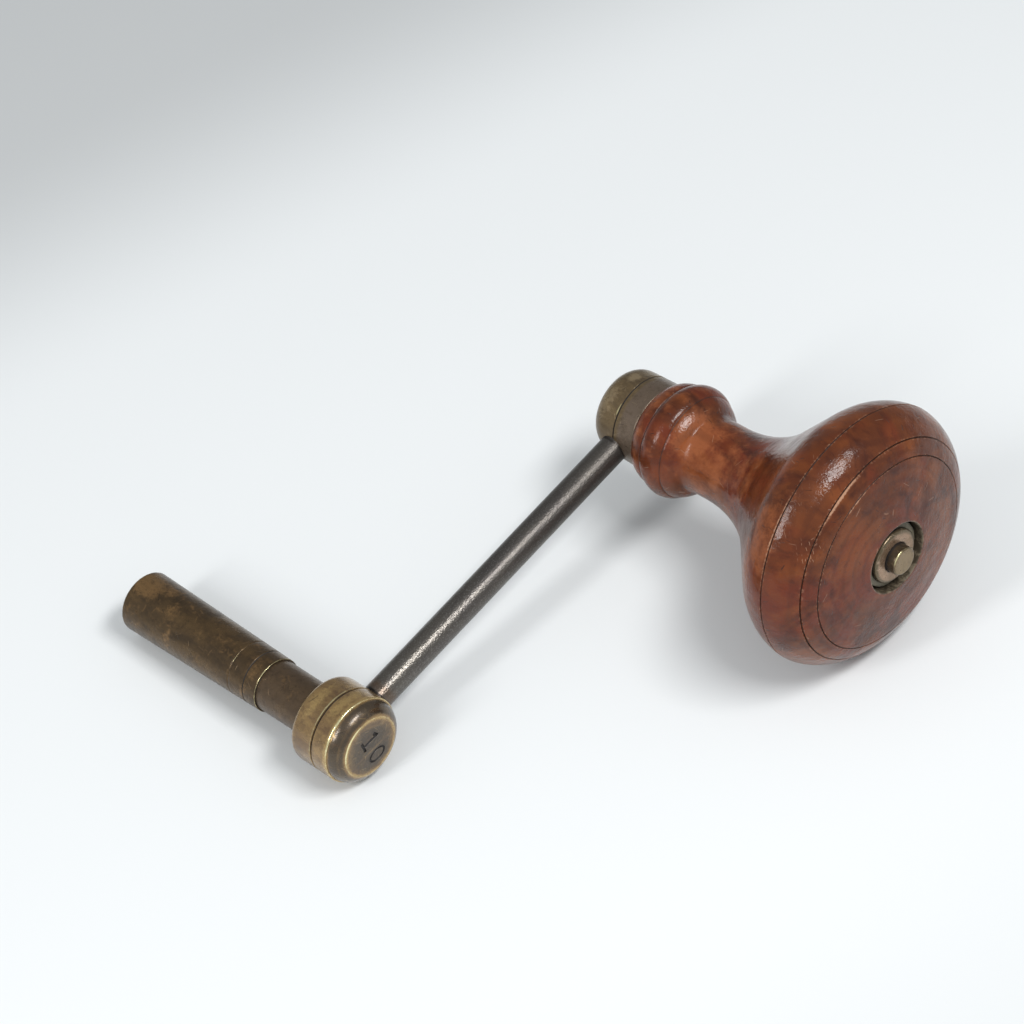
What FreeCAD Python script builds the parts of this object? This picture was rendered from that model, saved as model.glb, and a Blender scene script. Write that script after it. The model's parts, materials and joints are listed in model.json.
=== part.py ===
import FreeCAD, Part
import math
import os
import re
import Sketcher

# A crank key for winding a clock, lying on a table.
# A brass barrel with a square socket is set in a turned brass hub. A steel rod is the crank arm.
# At its far end a brass boss holds a pin, and a turned wooden knob spins on that pin.
# Every turned piece is drawn as a half outline: lengths run along its own axis (X), and radii across it (Y).
# Millimetres throughout.

SIZES = {
    # the crank
    "throw": (64.0, "arm length, from the barrel's axis to the knob's axis"),
    "arm_r": (2.15, "steel arm, radius"),
    "arm_chamfer": (0.3, "chamfer on both ends of the arm"),
    "seat_wall": (0.3, "metal between the bottom of an arm's hole and the bore on the piece's axis"),
    # the barrel
    "socket_flats": (5.0, "winding square, across its flats"),
    "socket_depth": (15.0, "winding square, depth"),
    "mouth_wall": (1.14, "barrel's wall at the square's corners, at the mouth"),
    "mouth_chamfer": (0.3, "chamfer round the mouth"),
    "drill_under": (0.1, "how much smaller the drilled hole's radius is than half the square"),
    "drill_beyond": (3.0, "how far the drilled hole runs on behind the square"),
    "drill_point": (118.0, "angle of the drill's point, degrees"),
    "barrel_length": (28.1, "barrel, from its mouth to the turned shoulder"),
    "barrel_taper": (0.48, "how much the barrel's radius falls from mouth to shoulder"),
    "neck_step": (0.25, "step from the shoulder down to the neck"),
    "neck_length": (9.8, "barrel's neck, from the shoulder to the hub"),
    "tenon_step": (1.15, "step from the neck down to the tenon in the hub"),
    "tenon_length": (5.0, "barrel's tenon, length"),
    "near_line": (2.5, "fine line nearer the shoulder, distance from it"),
    "far_line": (6.2, "fine line further from the shoulder, distance from it"),
    "line_r": (0.16, "fine turned lines, radius of the cut"),
    # the hub
    "hub_r": (6.6, "hub, largest radius"),
    "hub_length": (9.5, "hub, length"),
    "hub_arm_at": (4.4, "arm's axis, from the hub's back face"),
    "hub_back_round": (1.0, "round on the hub's back edge"),
    "hub_step": (0.22, "small step inside the front rim"),
    "ovolo_length": (2.1, "rounded moulding before the end face, length"),
    "ovolo_drop": (1.68, "rounded moulding before the end face, fall in radius"),
    "ovolo_swell": (0.47, "rounded moulding before the end face, height over its chord"),
    "hub_groove_r": (0.4, "groove round the hub, radius of the cut"),
    # the boss
    "boss_r": (6.65, "boss, largest radius"),
    "boss_length": (8.55, "boss, length"),
    "boss_arm_at": (4.4, "arm's axis, from the boss's back face"),
    "boss_back_round": (1.3, "round on the boss's back edge"),
    "boss_back_wall": (1.55, "metal behind the pin's hole"),
    "boss_chamfer": (0.2, "chamfer on the boss's front edge"),
    "boss_groove_ahead": (0.8, "groove round the boss, how far in front of the arm's axis"),
    "boss_groove_r": (0.25, "groove round the boss, radius of the cut"),
    # the pin that the knob spins on
    "pin_r": (2.16, "pin, radius"),
    "pin_step": (0.46, "step from the pin down to its root in the boss"),
    "pin_chamfer": (0.2, "chamfer on the pin's end"),
    "pin_proud": (1.6, "how far the pin stands out of the collar"),
    # the knob, from its base to its domed end
    "knob_base_r": (7.1, "knob's base, radius"),
    "base_length": (2.4, "base ring, from the base to the first groove"),
    "first_ring_r": (7.95, "knob's radius at the first groove"),
    "base_swell": (0.22, "base ring, height over its chord"),
    "bead_length": (3.8, "bead between the first two grooves, length"),
    "second_ring_r": (7.88, "knob's radius at the second groove"),
    "bead_swell": (0.7, "bead, height over its chord"),
    "bulb_length": (2.3, "small bulb after the second groove, length"),
    "bulb_swell": (0.22, "small bulb, height over its chord"),
    "cove_length": (1.4, "small hollow where the bulb meets the neck, length"),
    "cove_rise": (0.25, "small hollow, rise in radius"),
    "cove_dip": (0.08, "small hollow, depth under its chord"),
    "waist_r": (5.8, "knob's neck, radius"),
    "waist_length": (2.3, "knob's neck, length of its straight part"),
    "flare_r": (17.2, "hollow flare from the neck to the big bulb"),
    "flare_angle": (46.0, "steepest angle of the flare, degrees"),
    "shoulder_round": (8.05, "rounding of the big bulb's shoulder"),
    "lip_angle": (2.0, "slope of the shoulder where it meets the third ring, degrees"),
    "crown_r": (19.77, "radius at which the crown's rounding peaks, just short of the third ring"),
    "crown_round": (7.6, "rounding of the crown"),
    "third_ring_turn": (9.5, "third ring, how far round the crown's rounding, degrees"),
    "fourth_ring_turn": (51.8, "fourth ring, how far round the crown's rounding, degrees"),
    "fifth_ring_outset": (0.3, "fifth ring, how much larger its radius is than the dome's edge"),
    "dome_r": (57.7, "domed end of the knob, radius of the dome"),
    "ring_r": (0.3, "turned grooves in the wood, radius of the cut"),
    # the recess in the knob's end, and what it holds
    "recess_r": (5.37, "recess, radius"),
    "recess_depth": (2.4, "recess, depth"),
    "washer_gap": (0.42, "between the loose washer's edge and the recess's wall"),
    "washer_thick": (1.0, "loose washer, thickness"),
    "collar_inset": (0.8, "how much smaller the collar's radius is than the loose washer's"),
    "collar_thick": (0.8, "collar, thickness"),
    "washer_chamfer": (0.12, "chamfer on the edges of both washers"),
    # clearances
    "spin_clear": (0.08, "between the pin and the knob's bore, on the radius"),
    "washer_clear": (0.12, "between the pin and the loose washer, on the radius"),
    "fit_clear": (0.02, "between a fixed piece and its seat, on the radius"),
    "end_clear": (0.1, "between the end of a fixed piece and the bottom of its hole"),
    "play": (0.25, "end play of the knob, at each of its two ends"),
}

doc = FreeCAD.newDocument("clock_key")


def make_sheet():
    """The driving dimensions, one per row: a word, its number and what it means."""
    sheet = doc.addObject("Spreadsheet::Sheet", "sizes")
    for row, (alias, (number, meaning)) in enumerate(SIZES.items(), start=1):
        sheet.set(f"A{row}", alias)
        sheet.set(f"B{row}", str(number))
        sheet.setAlias(f"B{row}", alias)
        sheet.set(f"C{row}", meaning)
    doc.recompute()
    return sheet


sheet = make_sheet()

# Lengths that follow from the driving dimensions, written as formulas of them.
# The barrel
MOUTH_R = "(socket_flats / sqrt(2) + mouth_wall)"
SHOULDER_R = f"({MOUTH_R} - barrel_taper)"
NECK_R = f"({SHOULDER_R} - neck_step)"
TENON_R = f"({NECK_R} - tenon_step)"
NECK_END = "(barrel_length + neck_length)"
TENON_END = f"({NECK_END} + tenon_length)"
LINE_TAPER = "(barrel_taper / (barrel_length - mouth_chamfer))"
DRILL_R = "(socket_flats / 2 - drill_under)"
DRILL_END = "(socket_depth + drill_beyond)"
# Bores and seats
TENON_BORE_R = f"({TENON_R} + fit_clear)"
TENON_BORE_END = "(tenon_length + end_clear)"
PIN_ROOT_R = "(pin_r - pin_step)"
PIN_BORE_R = f"({PIN_ROOT_R} + fit_clear)"
PIN_ROOT_LENGTH = "(boss_length - boss_back_wall - end_clear)"
HUB_SEAT = f"({TENON_BORE_R} + seat_wall)"
BOSS_SEAT = f"({PIN_BORE_R} + seat_wall)"
ARM_LENGTH = f"(throw - {HUB_SEAT} - {BOSS_SEAT} - 2 * end_clear)"
KNOB_BORE_R = "(pin_r + spin_clear)"
# The knob's outline
SECOND_RING_AT = "(base_length + bead_length)"
BULB_END_AT = f"({SECOND_RING_AT} + bulb_length)"
WAIST_AT = f"({BULB_END_AT} + cove_length)"
FLARE_AT = f"({WAIST_AT} + waist_length)"
FLARE_END_AT = f"({FLARE_AT} + flare_r * sin(flare_angle))"
FLARE_END_R = "(waist_r + flare_r * (1 - cos(flare_angle)))"
CROWN_CENTRE_R = "(crown_r - crown_round)"
THIRD_RING_R = f"({CROWN_CENTRE_R} + crown_round * cos(third_ring_turn))"
FULL_R = f"({THIRD_RING_R} - shoulder_round * (cos(lip_angle) - cos(flare_angle)))"
FULL_AT = f"({FLARE_END_AT} + ({FULL_R} - {FLARE_END_R}) / tan(flare_angle))"
THIRD_RING_AT = f"({FULL_AT} + shoulder_round * (sin(flare_angle) - sin(lip_angle)))"
CROWN_AT = f"({THIRD_RING_AT} - crown_round * sin(third_ring_turn))"
FOURTH_RING_AT = f"({CROWN_AT} + crown_round * sin(fourth_ring_turn))"
FOURTH_RING_R = f"({CROWN_CENTRE_R} + crown_round * cos(fourth_ring_turn))"
DOME_REACH = "(dome_r - crown_round)"
DOME_CENTRE_AT = f"({CROWN_AT} - sqrt({DOME_REACH} ^ 2 - {CROWN_CENTRE_R} ^ 2))"
DOME_EDGE_R = f"({CROWN_CENTRE_R} * dome_r / {DOME_REACH})"
DOME_EDGE_AT = f"({DOME_CENTRE_AT} + sqrt(dome_r ^ 2 - {DOME_EDGE_R} ^ 2))"
FIFTH_RING_R = f"({DOME_EDGE_R} + fifth_ring_outset)"
FIFTH_RING_AT = f"({CROWN_AT} + sqrt(crown_round ^ 2 - ({FIFTH_RING_R} - {CROWN_CENTRE_R}) ^ 2))"
RECESS_RIM_AT = f"({DOME_CENTRE_AT} + sqrt(dome_r ^ 2 - recess_r ^ 2))"
RECESS_FLOOR_AT = f"({RECESS_RIM_AT} - recess_depth)"
# The washers
WASHER_R = "(recess_r - washer_gap)"
COLLAR_R = f"({WASHER_R} - collar_inset)"
# Where each piece starts along its axis, measured from the arm's axis
BARREL_START = "(0 - hub_arm_at - neck_length - barrel_length)"
BOSS_FRONT = "(boss_length - boss_arm_at)"
PIN_START = f"({BOSS_FRONT} - {PIN_ROOT_LENGTH})"
KNOB_START = f"({BOSS_FRONT} + play)"
WASHER_START = f"({KNOB_START} + {RECESS_FLOOR_AT} + play)"
COLLAR_START = f"({WASHER_START} + washer_thick)"
PIN_LENGTH = f"({COLLAR_START} + collar_thick + pin_proud - {PIN_START})"


def bind(formula):
    """The formula with each word of the sheet written as a reference to the sheet."""
    return re.sub(r"[a-z_]+\b", lambda m: f"sizes.{m[0]}" if m[0] in SIZES else m[0], formula)


def value(formula):
    """The formula's number."""
    return float(sheet.evalExpression(formula))


def plane(body, role):
    """One of the body's own origin planes, such as XY_Plane."""
    return next(o for o in body.Origin.OriginFeatures if o.Role == role)


def add_sketch(body, name, role):
    sketch = body.newObject("Sketcher::SketchObject", name)
    sketch.AttachmentSupport = (plane(body, role), [""])
    sketch.MapMode = "FlatFace"
    return sketch


def bind_last(sketch, word, formula):
    """Names the sketch's newest constraint and ties its size to the formula."""
    sketch.renameConstraint(sketch.ConstraintCount - 1, word)
    sketch.setExpression(f"Constraints.{word}", bind(formula))


def pin_corner(sketch, word, edge, end, at, radius):
    """Holds a corner of an outline at its length and radius. A corner at 0 lies on the sketch's own axis."""
    for direction, axis, formula in (("DistanceX", -2, at), ("DistanceY", -1, radius)):
        if formula == "0":
            sketch.addConstraint(Sketcher.Constraint("PointOnObject", edge, end, axis))
            continue
        sketch.addConstraint(Sketcher.Constraint(direction, -1, 1, edge, end, value(formula)))
        bind_last(sketch, f"{word}_{'at' if axis == -2 else 'r'}", formula)


def swelling(start, end, height):
    """The radius of an arc between two corners of an outline that stands this high over its chord."""
    return f"((({end[0]} - {start[0]}) ^ 2 + ({end[1]} - {start[1]}) ^ 2) / (8 * {height}) + {height} / 2)"


def arc_middle(start, end, radius, side):
    """The middle point of an arc. Side is 1 where it swells away from the axis, and -1 where it is hollow."""
    chord = end - start
    outward = FreeCAD.Vector(-chord.y, chord.x, 0).normalize() * side
    height = radius - math.sqrt(radius ** 2 - (chord.Length / 2) ** 2)
    return (start + end) / 2 + outward * height


def draw_outline(sketch, corners):
    """A closed outline. Its corners are (length, radius), then (rounding, side) where an arc leads there."""
    points = [FreeCAD.Vector(value(c[0]), value(c[1]), 0) for c in corners]
    ends = []
    for i, corner in enumerate(corners):
        start, end = points[i - 1], points[i]
        if len(corner) == 2:
            edge = sketch.addGeometry(Part.LineSegment(start, end))
            ends.append((edge, 1, 2))
            continue
        rounding, side = corner[2:]
        middle = arc_middle(start, end, value(rounding), side)
        clockwise = side > 0
        arc = Part.Arc(end, middle, start) if clockwise else Part.Arc(start, middle, end)
        edge = sketch.addGeometry(arc)
        sketch.addConstraint(Sketcher.Constraint("Radius", edge, value(rounding)))
        bind_last(sketch, f"round{i}", rounding)
        ends.append((edge, 2, 1) if clockwise else (edge, 1, 2))
    for i, corner in enumerate(corners):
        edge, last = ends[i][0], ends[i][2]
        next_edge, next_first = ends[(i + 1) % len(ends)][:2]
        sketch.addConstraint(Sketcher.Constraint("Coincident", edge, last, next_edge, next_first))
        pin_corner(sketch, f"corner{i}", edge, last, corner[0], corner[1])


def turn(label, corners):
    """A new sub-part, turned about its own X axis."""
    body = doc.addObject("PartDesign::Body", label)
    body.Label = label
    sketch = add_sketch(body, f"{label}_outline", "XY_Plane")
    draw_outline(sketch, corners)
    solid = body.newObject("PartDesign::Revolution", f"{label}_turned")
    solid.Profile = sketch
    solid.ReferenceAxis = (sketch, ["H_Axis"])
    solid.Angle = 360
    doc.recompute()
    return body


def cut(body, feature, before):
    """Checks that a feature really took something away."""
    doc.recompute()
    if not body.Shape.Volume < before - 1e-6:
        raise ValueError(f"{feature.Name} cuts nothing")


def turn_groove(body, name, at, radius, cutter):
    """A half-round groove cut round a turned piece, centred on its surface."""
    before = body.Shape.Volume
    sketch = add_sketch(body, f"{name}_section", "XY_Plane")
    centre = FreeCAD.Vector(value(at), value(radius), 0)
    sketch.addGeometry(Part.Circle(centre, FreeCAD.Vector(0, 0, 1), value(cutter)))
    pin_corner(sketch, "centre", 0, 3, at, radius)
    sketch.addConstraint(Sketcher.Constraint("Radius", 0, value(cutter)))
    bind_last(sketch, "cutter", cutter)
    groove = body.newObject("PartDesign::Groove", name)
    groove.Profile = sketch
    groove.ReferenceAxis = (sketch, ["H_Axis"])
    groove.Angle = 360
    cut(body, groove, before)


def drill_arm_hole(body, name, at, seat, outward):
    """The radial hole that holds the arm, from its seat near the piece's axis out through its side."""
    before = body.Shape.Volume
    sketch = add_sketch(body, f"{name}_circle", "XZ_Plane")
    offset = f"{-outward} * {seat}"
    sketch.AttachmentOffset = FreeCAD.Placement(FreeCAD.Vector(0, 0, value(offset)), FreeCAD.Rotation())
    sketch.setExpression("AttachmentOffset.Base.z", bind(offset))
    radius = "arm_r + fit_clear"
    sketch.addGeometry(Part.Circle(FreeCAD.Vector(value(at), 0, 0), FreeCAD.Vector(0, 0, 1), value(radius)))
    pin_corner(sketch, "centre", 0, 3, at, "0")
    sketch.addConstraint(Sketcher.Constraint("Radius", 0, value(radius)))
    bind_last(sketch, "hole", radius)
    hole = body.newObject("PartDesign::Pocket", name)
    hole.Profile = sketch
    hole.Type = "ThroughAll"
    hole.Reversed = outward < 0
    cut(body, hole, before)


def cut_square_socket(body):
    """The winding square, sunk in the barrel's mouth."""
    before = body.Shape.Volume
    sketch = add_sketch(body, "socket_square", "YZ_Plane")
    half = value("socket_flats") / 2
    corners = [FreeCAD.Vector(y * half, z * half, 0) for y, z in ((-1, -1), (1, -1), (1, 1), (-1, 1))]
    for i, corner in enumerate(corners):
        sketch.addGeometry(Part.LineSegment(corner, corners[(i + 1) % 4]))
    for i in range(4):
        sketch.addConstraint(Sketcher.Constraint("Coincident", i, 2, (i + 1) % 4, 1))
        sketch.addConstraint(Sketcher.Constraint("Vertical" if i % 2 else "Horizontal", i))
    sketch.addConstraint(Sketcher.Constraint("Symmetric", 0, 1, 1, 2, -1, 1))
    for edge, direction in ((0, "DistanceX"), (1, "DistanceY")):
        sketch.addConstraint(Sketcher.Constraint(direction, edge, 1, edge, 2, 2 * half))
        bind_last(sketch, f"flats{edge}", "socket_flats")
    socket = body.newObject("PartDesign::Pocket", "socket")
    socket.Profile = sketch
    socket.Length = value("socket_depth")
    socket.setExpression("Length", bind("socket_depth"))
    socket.Reversed = True
    cut(body, socket, before)


def cut_drilled_hole(body):
    """The hole drilled before the square was cut. It runs on behind the square and ends in a cone."""
    before = body.Shape.Volume
    sketch = add_sketch(body, "drill_outline", "XY_Plane")
    tip = f"{DRILL_END} + {DRILL_R} / tan(drill_point / 2)"
    draw_outline(sketch, [("0", "0"), ("0", DRILL_R), (DRILL_END, DRILL_R), (tip, "0")])
    hole = body.newObject("PartDesign::Groove", "drilled_hole")
    hole.Profile = sketch
    hole.ReferenceAxis = (sketch, ["H_Axis"])
    hole.Angle = 360
    cut(body, hole, before)


def make_key_barrel():
    body = turn("key_barrel", [
        ("0", "0"),
        ("0", f"{MOUTH_R} - mouth_chamfer"),
        ("mouth_chamfer", MOUTH_R),
        ("barrel_length", SHOULDER_R),
        ("barrel_length", NECK_R),
        (NECK_END, NECK_R),
        (NECK_END, TENON_R),
        (TENON_END, TENON_R),
        (TENON_END, "0"),
    ])
    for line in ("near_line", "far_line"):
        radius = f"{SHOULDER_R} + {line} * {LINE_TAPER}"
        turn_groove(body, f"barrel_{line}", f"barrel_length - {line}", radius, "line_r")
    cut_drilled_hole(body)
    cut_square_socket(body)
    return body


def make_hub():
    rim = ("(hub_length - ovolo_length)", "(hub_r - hub_step)")
    face = ("hub_length", "(hub_r - hub_step - ovolo_drop)")
    body = turn("hub", [
        ("0", TENON_BORE_R),
        ("0", "hub_r - hub_back_round"),
        ("hub_back_round", "hub_r", "hub_back_round", 1),
        (rim[0], "hub_r"),
        rim,
        (*face, swelling(rim, face, "ovolo_swell"), 1),
        ("hub_length", "0"),
        (TENON_BORE_END, "0"),
        (TENON_BORE_END, TENON_BORE_R),
    ])
    turn_groove(body, "hub_groove", "hub_arm_at", "hub_r", "hub_groove_r")
    drill_arm_hole(body, "hub_arm_hole", "hub_arm_at", HUB_SEAT, 1)
    return body


def make_crank_arm():
    return turn("crank_arm", [
        ("0", "0"),
        ("0", "arm_r - arm_chamfer"),
        ("arm_chamfer", "arm_r"),
        (f"{ARM_LENGTH} - arm_chamfer", "arm_r"),
        (ARM_LENGTH, "arm_r - arm_chamfer"),
        (ARM_LENGTH, "0"),
    ])


def make_handle_boss():
    body = turn("handle_boss", [
        ("0", "0"),
        ("0", "boss_r - boss_back_round"),
        ("boss_back_round", "boss_r", "boss_back_round", 1),
        ("boss_length - boss_chamfer", "boss_r"),
        ("boss_length", "boss_r - boss_chamfer"),
        ("boss_length", PIN_BORE_R),
        ("boss_back_wall", PIN_BORE_R),
        ("boss_back_wall", "0"),
    ])
    turn_groove(body, "boss_groove", "boss_arm_at + boss_groove_ahead", "boss_r", "boss_groove_r")
    drill_arm_hole(body, "boss_arm_hole", "boss_arm_at", BOSS_SEAT, -1)
    return body


def make_handle_pin():
    return turn("handle_pin", [
        ("0", "0"),
        ("0", PIN_ROOT_R),
        (PIN_ROOT_LENGTH, PIN_ROOT_R),
        (PIN_ROOT_LENGTH, "pin_r"),
        (f"{PIN_LENGTH} - pin_chamfer", "pin_r"),
        (PIN_LENGTH, "pin_r - pin_chamfer"),
        (PIN_LENGTH, "0"),
    ])


def make_knob():
    base = ("0", "knob_base_r")
    first_ring = ("base_length", "first_ring_r")
    second_ring = (SECOND_RING_AT, "second_ring_r")
    bulb_end = (BULB_END_AT, "(waist_r + cove_rise)")
    waist = (WAIST_AT, "waist_r")
    body = turn("knob", [
        ("0", KNOB_BORE_R),
        base,
        (*first_ring, swelling(base, first_ring, "base_swell"), 1),
        (*second_ring, swelling(first_ring, second_ring, "bead_swell"), 1),
        (*bulb_end, swelling(second_ring, bulb_end, "bulb_swell"), 1),
        (*waist, swelling(bulb_end, waist, "cove_dip"), -1),
        (FLARE_AT, "waist_r"),
        (FLARE_END_AT, FLARE_END_R, "flare_r", -1),
        (FULL_AT, FULL_R),
        (THIRD_RING_AT, THIRD_RING_R, "shoulder_round", 1),
        (DOME_EDGE_AT, DOME_EDGE_R, "crown_round", 1),
        (RECESS_RIM_AT, "recess_r", "dome_r", 1),
        (RECESS_FLOOR_AT, "recess_r"),
        (RECESS_FLOOR_AT, KNOB_BORE_R),
    ])
    rings = {
        "first_ring": first_ring,
        "second_ring": second_ring,
        "third_ring": (THIRD_RING_AT, THIRD_RING_R),
        "fourth_ring": (FOURTH_RING_AT, FOURTH_RING_R),
        "fifth_ring": (FIFTH_RING_AT, FIFTH_RING_R),
    }
    for name, (at, radius) in rings.items():
        turn_groove(body, name, at, radius, "ring_r")
    return body


def make_washer(label, outer, thick, clearance):
    """A flat ring with both outer edges chamfered."""
    return turn(label, [
        ("0", f"pin_r + {clearance}"),
        ("0", f"{outer} - washer_chamfer"),
        ("washer_chamfer", outer),
        (f"{thick} - washer_chamfer", outer),
        (thick, f"{outer} - washer_chamfer"),
        (thick, f"pin_r + {clearance}"),
    ])


def lying_tilt():
    """How the key lies on its knob, the back edge of its hub and its barrel's mouth.

    Gives the up direction as the key sees it, and the surface's height over where arm and barrel cross."""
    back_round = value("hub_back_round")
    hub_at = value("hub_back_round - hub_arm_at")
    hub_core_r = value("hub_r - hub_back_round")
    mouth_at = value(f"{BARREL_START} + mouth_chamfer")
    along = hub_at - mouth_at
    across = hub_core_r - value(MOUTH_R)
    pitch = math.atan2(across, along) + math.asin(back_round / math.hypot(along, across))
    # The knob touches on its shoulder's rounding, or on the third ring's back edge where that is lower.
    shoulder = value("shoulder_round")
    lip = math.radians(value("lip_angle"))
    touching = max(pitch, lip + 2 * math.asin(value("ring_r") / 2 / shoulder))
    lip_at = value(f"{KNOB_START} + {THIRD_RING_AT}") - shoulder * (math.sin(touching) - math.sin(lip))
    lip_r = value(THIRD_RING_R) - shoulder * (math.cos(lip) - math.cos(touching))
    rise = (lip_r - hub_core_r) * math.cos(pitch) - back_round - math.sin(pitch) * (lip_at - hub_at)
    up = FreeCAD.Vector(math.sin(pitch), rise / value("throw"), 0)
    up.z = math.sqrt(1 - up.x ** 2 - up.y ** 2)
    surface = math.sin(pitch) * mouth_at - math.cos(pitch) * value(MOUTH_R)
    return up, surface


def lay_down(pieces, up, surface):
    """Places each piece on the key, lays the key on the surface and centres it over the origin."""
    along = (FreeCAD.Vector(1, 0, 0) - up * up.x).normalize()
    side = up.cross(along)
    rows = [(*row, 0) for row in (along, side, up)]
    lying = FreeCAD.Placement(FreeCAD.Matrix(*rows[0], *rows[1], *rows[2], 0, 0, 0, 1))
    for body, base, rotation in pieces:
        body.Placement = lying.multiply(FreeCAD.Placement(base, rotation))
    doc.recompute()
    whole = Part.makeCompound([body.Shape for body, base, rotation in pieces]).optimalBoundingBox()
    shift = FreeCAD.Vector(-whole.Center.x, -whole.Center.y, -surface)
    for body, base, rotation in pieces:
        body.Placement = FreeCAD.Placement(shift, FreeCAD.Rotation()).multiply(body.Placement)
    doc.recompute()
    return shift


def on_axis(start, offset=0.0, roll=0.0):
    """A place on the barrel's axis, or on the knob's where the offset is the throw."""
    rotation = FreeCAD.Rotation(FreeCAD.Vector(1, 0, 0), roll)
    return FreeCAD.Vector(value(start), offset, 0), rotation


def check(objects, bodies):
    """Stops if any object failed or any sub-part isn't one valid solid."""
    for item in objects:
        if "Invalid" in item.State or "Error" in item.State:
            raise ValueError(f"{item.Name} failed: {item.State}")
    for body in bodies:
        if body.Shape.isNull() or not body.Shape.isValid() or len(body.Shape.Solids) != 1:
            raise ValueError(f"{body.Label} isn't one valid solid")


throw = value("throw")
up, surface = lying_tilt()
level_square = -math.degrees(math.atan2(up.y, up.z))
arm_start = FreeCAD.Vector(0, value(f"{HUB_SEAT} + end_clear"), 0)
along_arm = FreeCAD.Rotation(FreeCAD.Vector(0, 0, 1), 90)

pieces = [
    (make_key_barrel(), *on_axis(BARREL_START, roll=level_square)),
    (make_hub(), *on_axis("0 - hub_arm_at")),
    (make_crank_arm(), arm_start, along_arm),
    (make_handle_boss(), *on_axis("0 - boss_arm_at", throw)),
    (make_handle_pin(), *on_axis(PIN_START, throw)),
    (make_knob(), *on_axis(KNOB_START, throw)),
    (make_washer("loose_washer", WASHER_R, "washer_thick", "washer_clear"), *on_axis(WASHER_START, throw)),
    (make_washer("pin_collar", COLLAR_R, "collar_thick", "fit_clear"), *on_axis(COLLAR_START, throw)),
]
shift = lay_down(pieces, up, surface)
bodies = [body for body, base, rotation in pieces]
check(doc.Objects, bodies)

os.makedirs("parts", exist_ok=True)
for body in bodies:
    body.Shape.exportStep(f"parts/{body.Label}.step")
    box = body.Shape.optimalBoundingBox()
    print(f"{body.Label}: {body.Shape.Volume:.1f} mm3, x {box.XMin:.2f} to {box.XMax:.2f},",
          f"y {box.YMin:.2f} to {box.YMax:.2f}, z {box.ZMin:.2f} to {box.ZMax:.2f}")
print("up direction on the key", tuple(round(c, 5) for c in up), "shift", tuple(round(c, 4) for c in shift))
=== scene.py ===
# %% [markdown]
# # A crank key for winding a clock
# The real key is a brass barrel, a turned brass hub, a steel arm, a brass boss and a wooden knob that spins
# on a pin. The imported model gives every piece its size and place. This file gives the looks: each piece is
# turned again with softened edges, and gets a finish with the wear that its own shape would collect. On
# some edges a painted highlight is laid over that wear.

# %% Load the imported key
import json
import math

import bmesh
import bpy
import numpy as np
from mathutils import Matrix, Vector


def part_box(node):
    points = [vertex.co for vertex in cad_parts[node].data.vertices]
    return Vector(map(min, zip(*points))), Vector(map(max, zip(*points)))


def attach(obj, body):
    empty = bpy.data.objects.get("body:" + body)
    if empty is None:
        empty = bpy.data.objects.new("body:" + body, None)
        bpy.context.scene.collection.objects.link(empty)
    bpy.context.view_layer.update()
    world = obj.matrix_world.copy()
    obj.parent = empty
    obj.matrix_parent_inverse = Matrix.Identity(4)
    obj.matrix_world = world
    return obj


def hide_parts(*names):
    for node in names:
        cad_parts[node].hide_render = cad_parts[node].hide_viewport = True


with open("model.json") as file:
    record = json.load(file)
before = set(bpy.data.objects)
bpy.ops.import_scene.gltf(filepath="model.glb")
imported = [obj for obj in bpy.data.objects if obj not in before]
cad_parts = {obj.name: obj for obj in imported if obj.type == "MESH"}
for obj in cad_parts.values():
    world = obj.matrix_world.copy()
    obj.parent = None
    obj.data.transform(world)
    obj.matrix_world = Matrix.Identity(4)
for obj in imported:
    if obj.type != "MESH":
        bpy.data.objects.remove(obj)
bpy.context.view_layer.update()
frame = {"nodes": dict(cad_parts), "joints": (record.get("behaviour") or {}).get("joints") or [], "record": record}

bpy.ops.object.select_all(action="DESELECT")
MM = 0.001
print("nodes in the frame:", ", ".join(sorted(frame["nodes"])))

# %% [markdown]
# ## The key's own directions
# The key lies tilted on the table, on its knob, its hub and its mouth. Modelling is easier in the key's own
# directions: U along the barrel, V along the arm, W square to both. They come from the joint, the mount and
# the arm's box, so nothing here has to be fitted. Each piece is made about the X axis and then laid down.

# %% Find the directions
joint = frame["joints"][0]
mount = next(m for m in frame["record"]["mounts"] if m["name"] == "winding_square")
U = Vector(joint["axis"]).normalized()
mouth_centre = Vector(mount["pos_m"])
V = Vector(joint["pos_m"]) - mouth_centre
V -= U * V.dot(U)
THROW = V.length / MM
V.normalize()
W = U.cross(V)
arm_low, arm_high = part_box("crank_arm")
crossing = mouth_centre + U * ((arm_low + arm_high) / 2 - mouth_centre).dot(U)
KEY = Matrix((U, V, W)).transposed().to_4x4()
KEY.translation = crossing
print(f"throw {THROW:.2f} mm, crossing of arm and barrel at {tuple(round(c / MM, 2) for c in crossing)} mm")


# %% [markdown]
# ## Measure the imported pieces
# The stations of a turned piece are lengths along U and radii round its own axis. They are read from the
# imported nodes, so a piece here starts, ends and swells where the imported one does. The pieces here have finer
# facets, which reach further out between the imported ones, so two micrometres are taken off each radius.

# %% Read a node's stations
INSIDE = 0.002


def key_points(name):
    """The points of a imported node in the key's own directions, in millimetres."""
    laid = KEY.inverted()
    return [laid @ v.co / MM for v in frame["nodes"][name].data.vertices]


def stations(name, on_knob_axis):
    """First and last length along U, and the largest radius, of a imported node, in millimetres."""
    points = key_points(name)
    off = THROW if on_knob_axis else 0.0
    radii = [math.hypot(p.y - off, p.z) for p in points]
    return min(p.x for p in points), max(p.x for p in points), max(radii) - INSIDE


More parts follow.
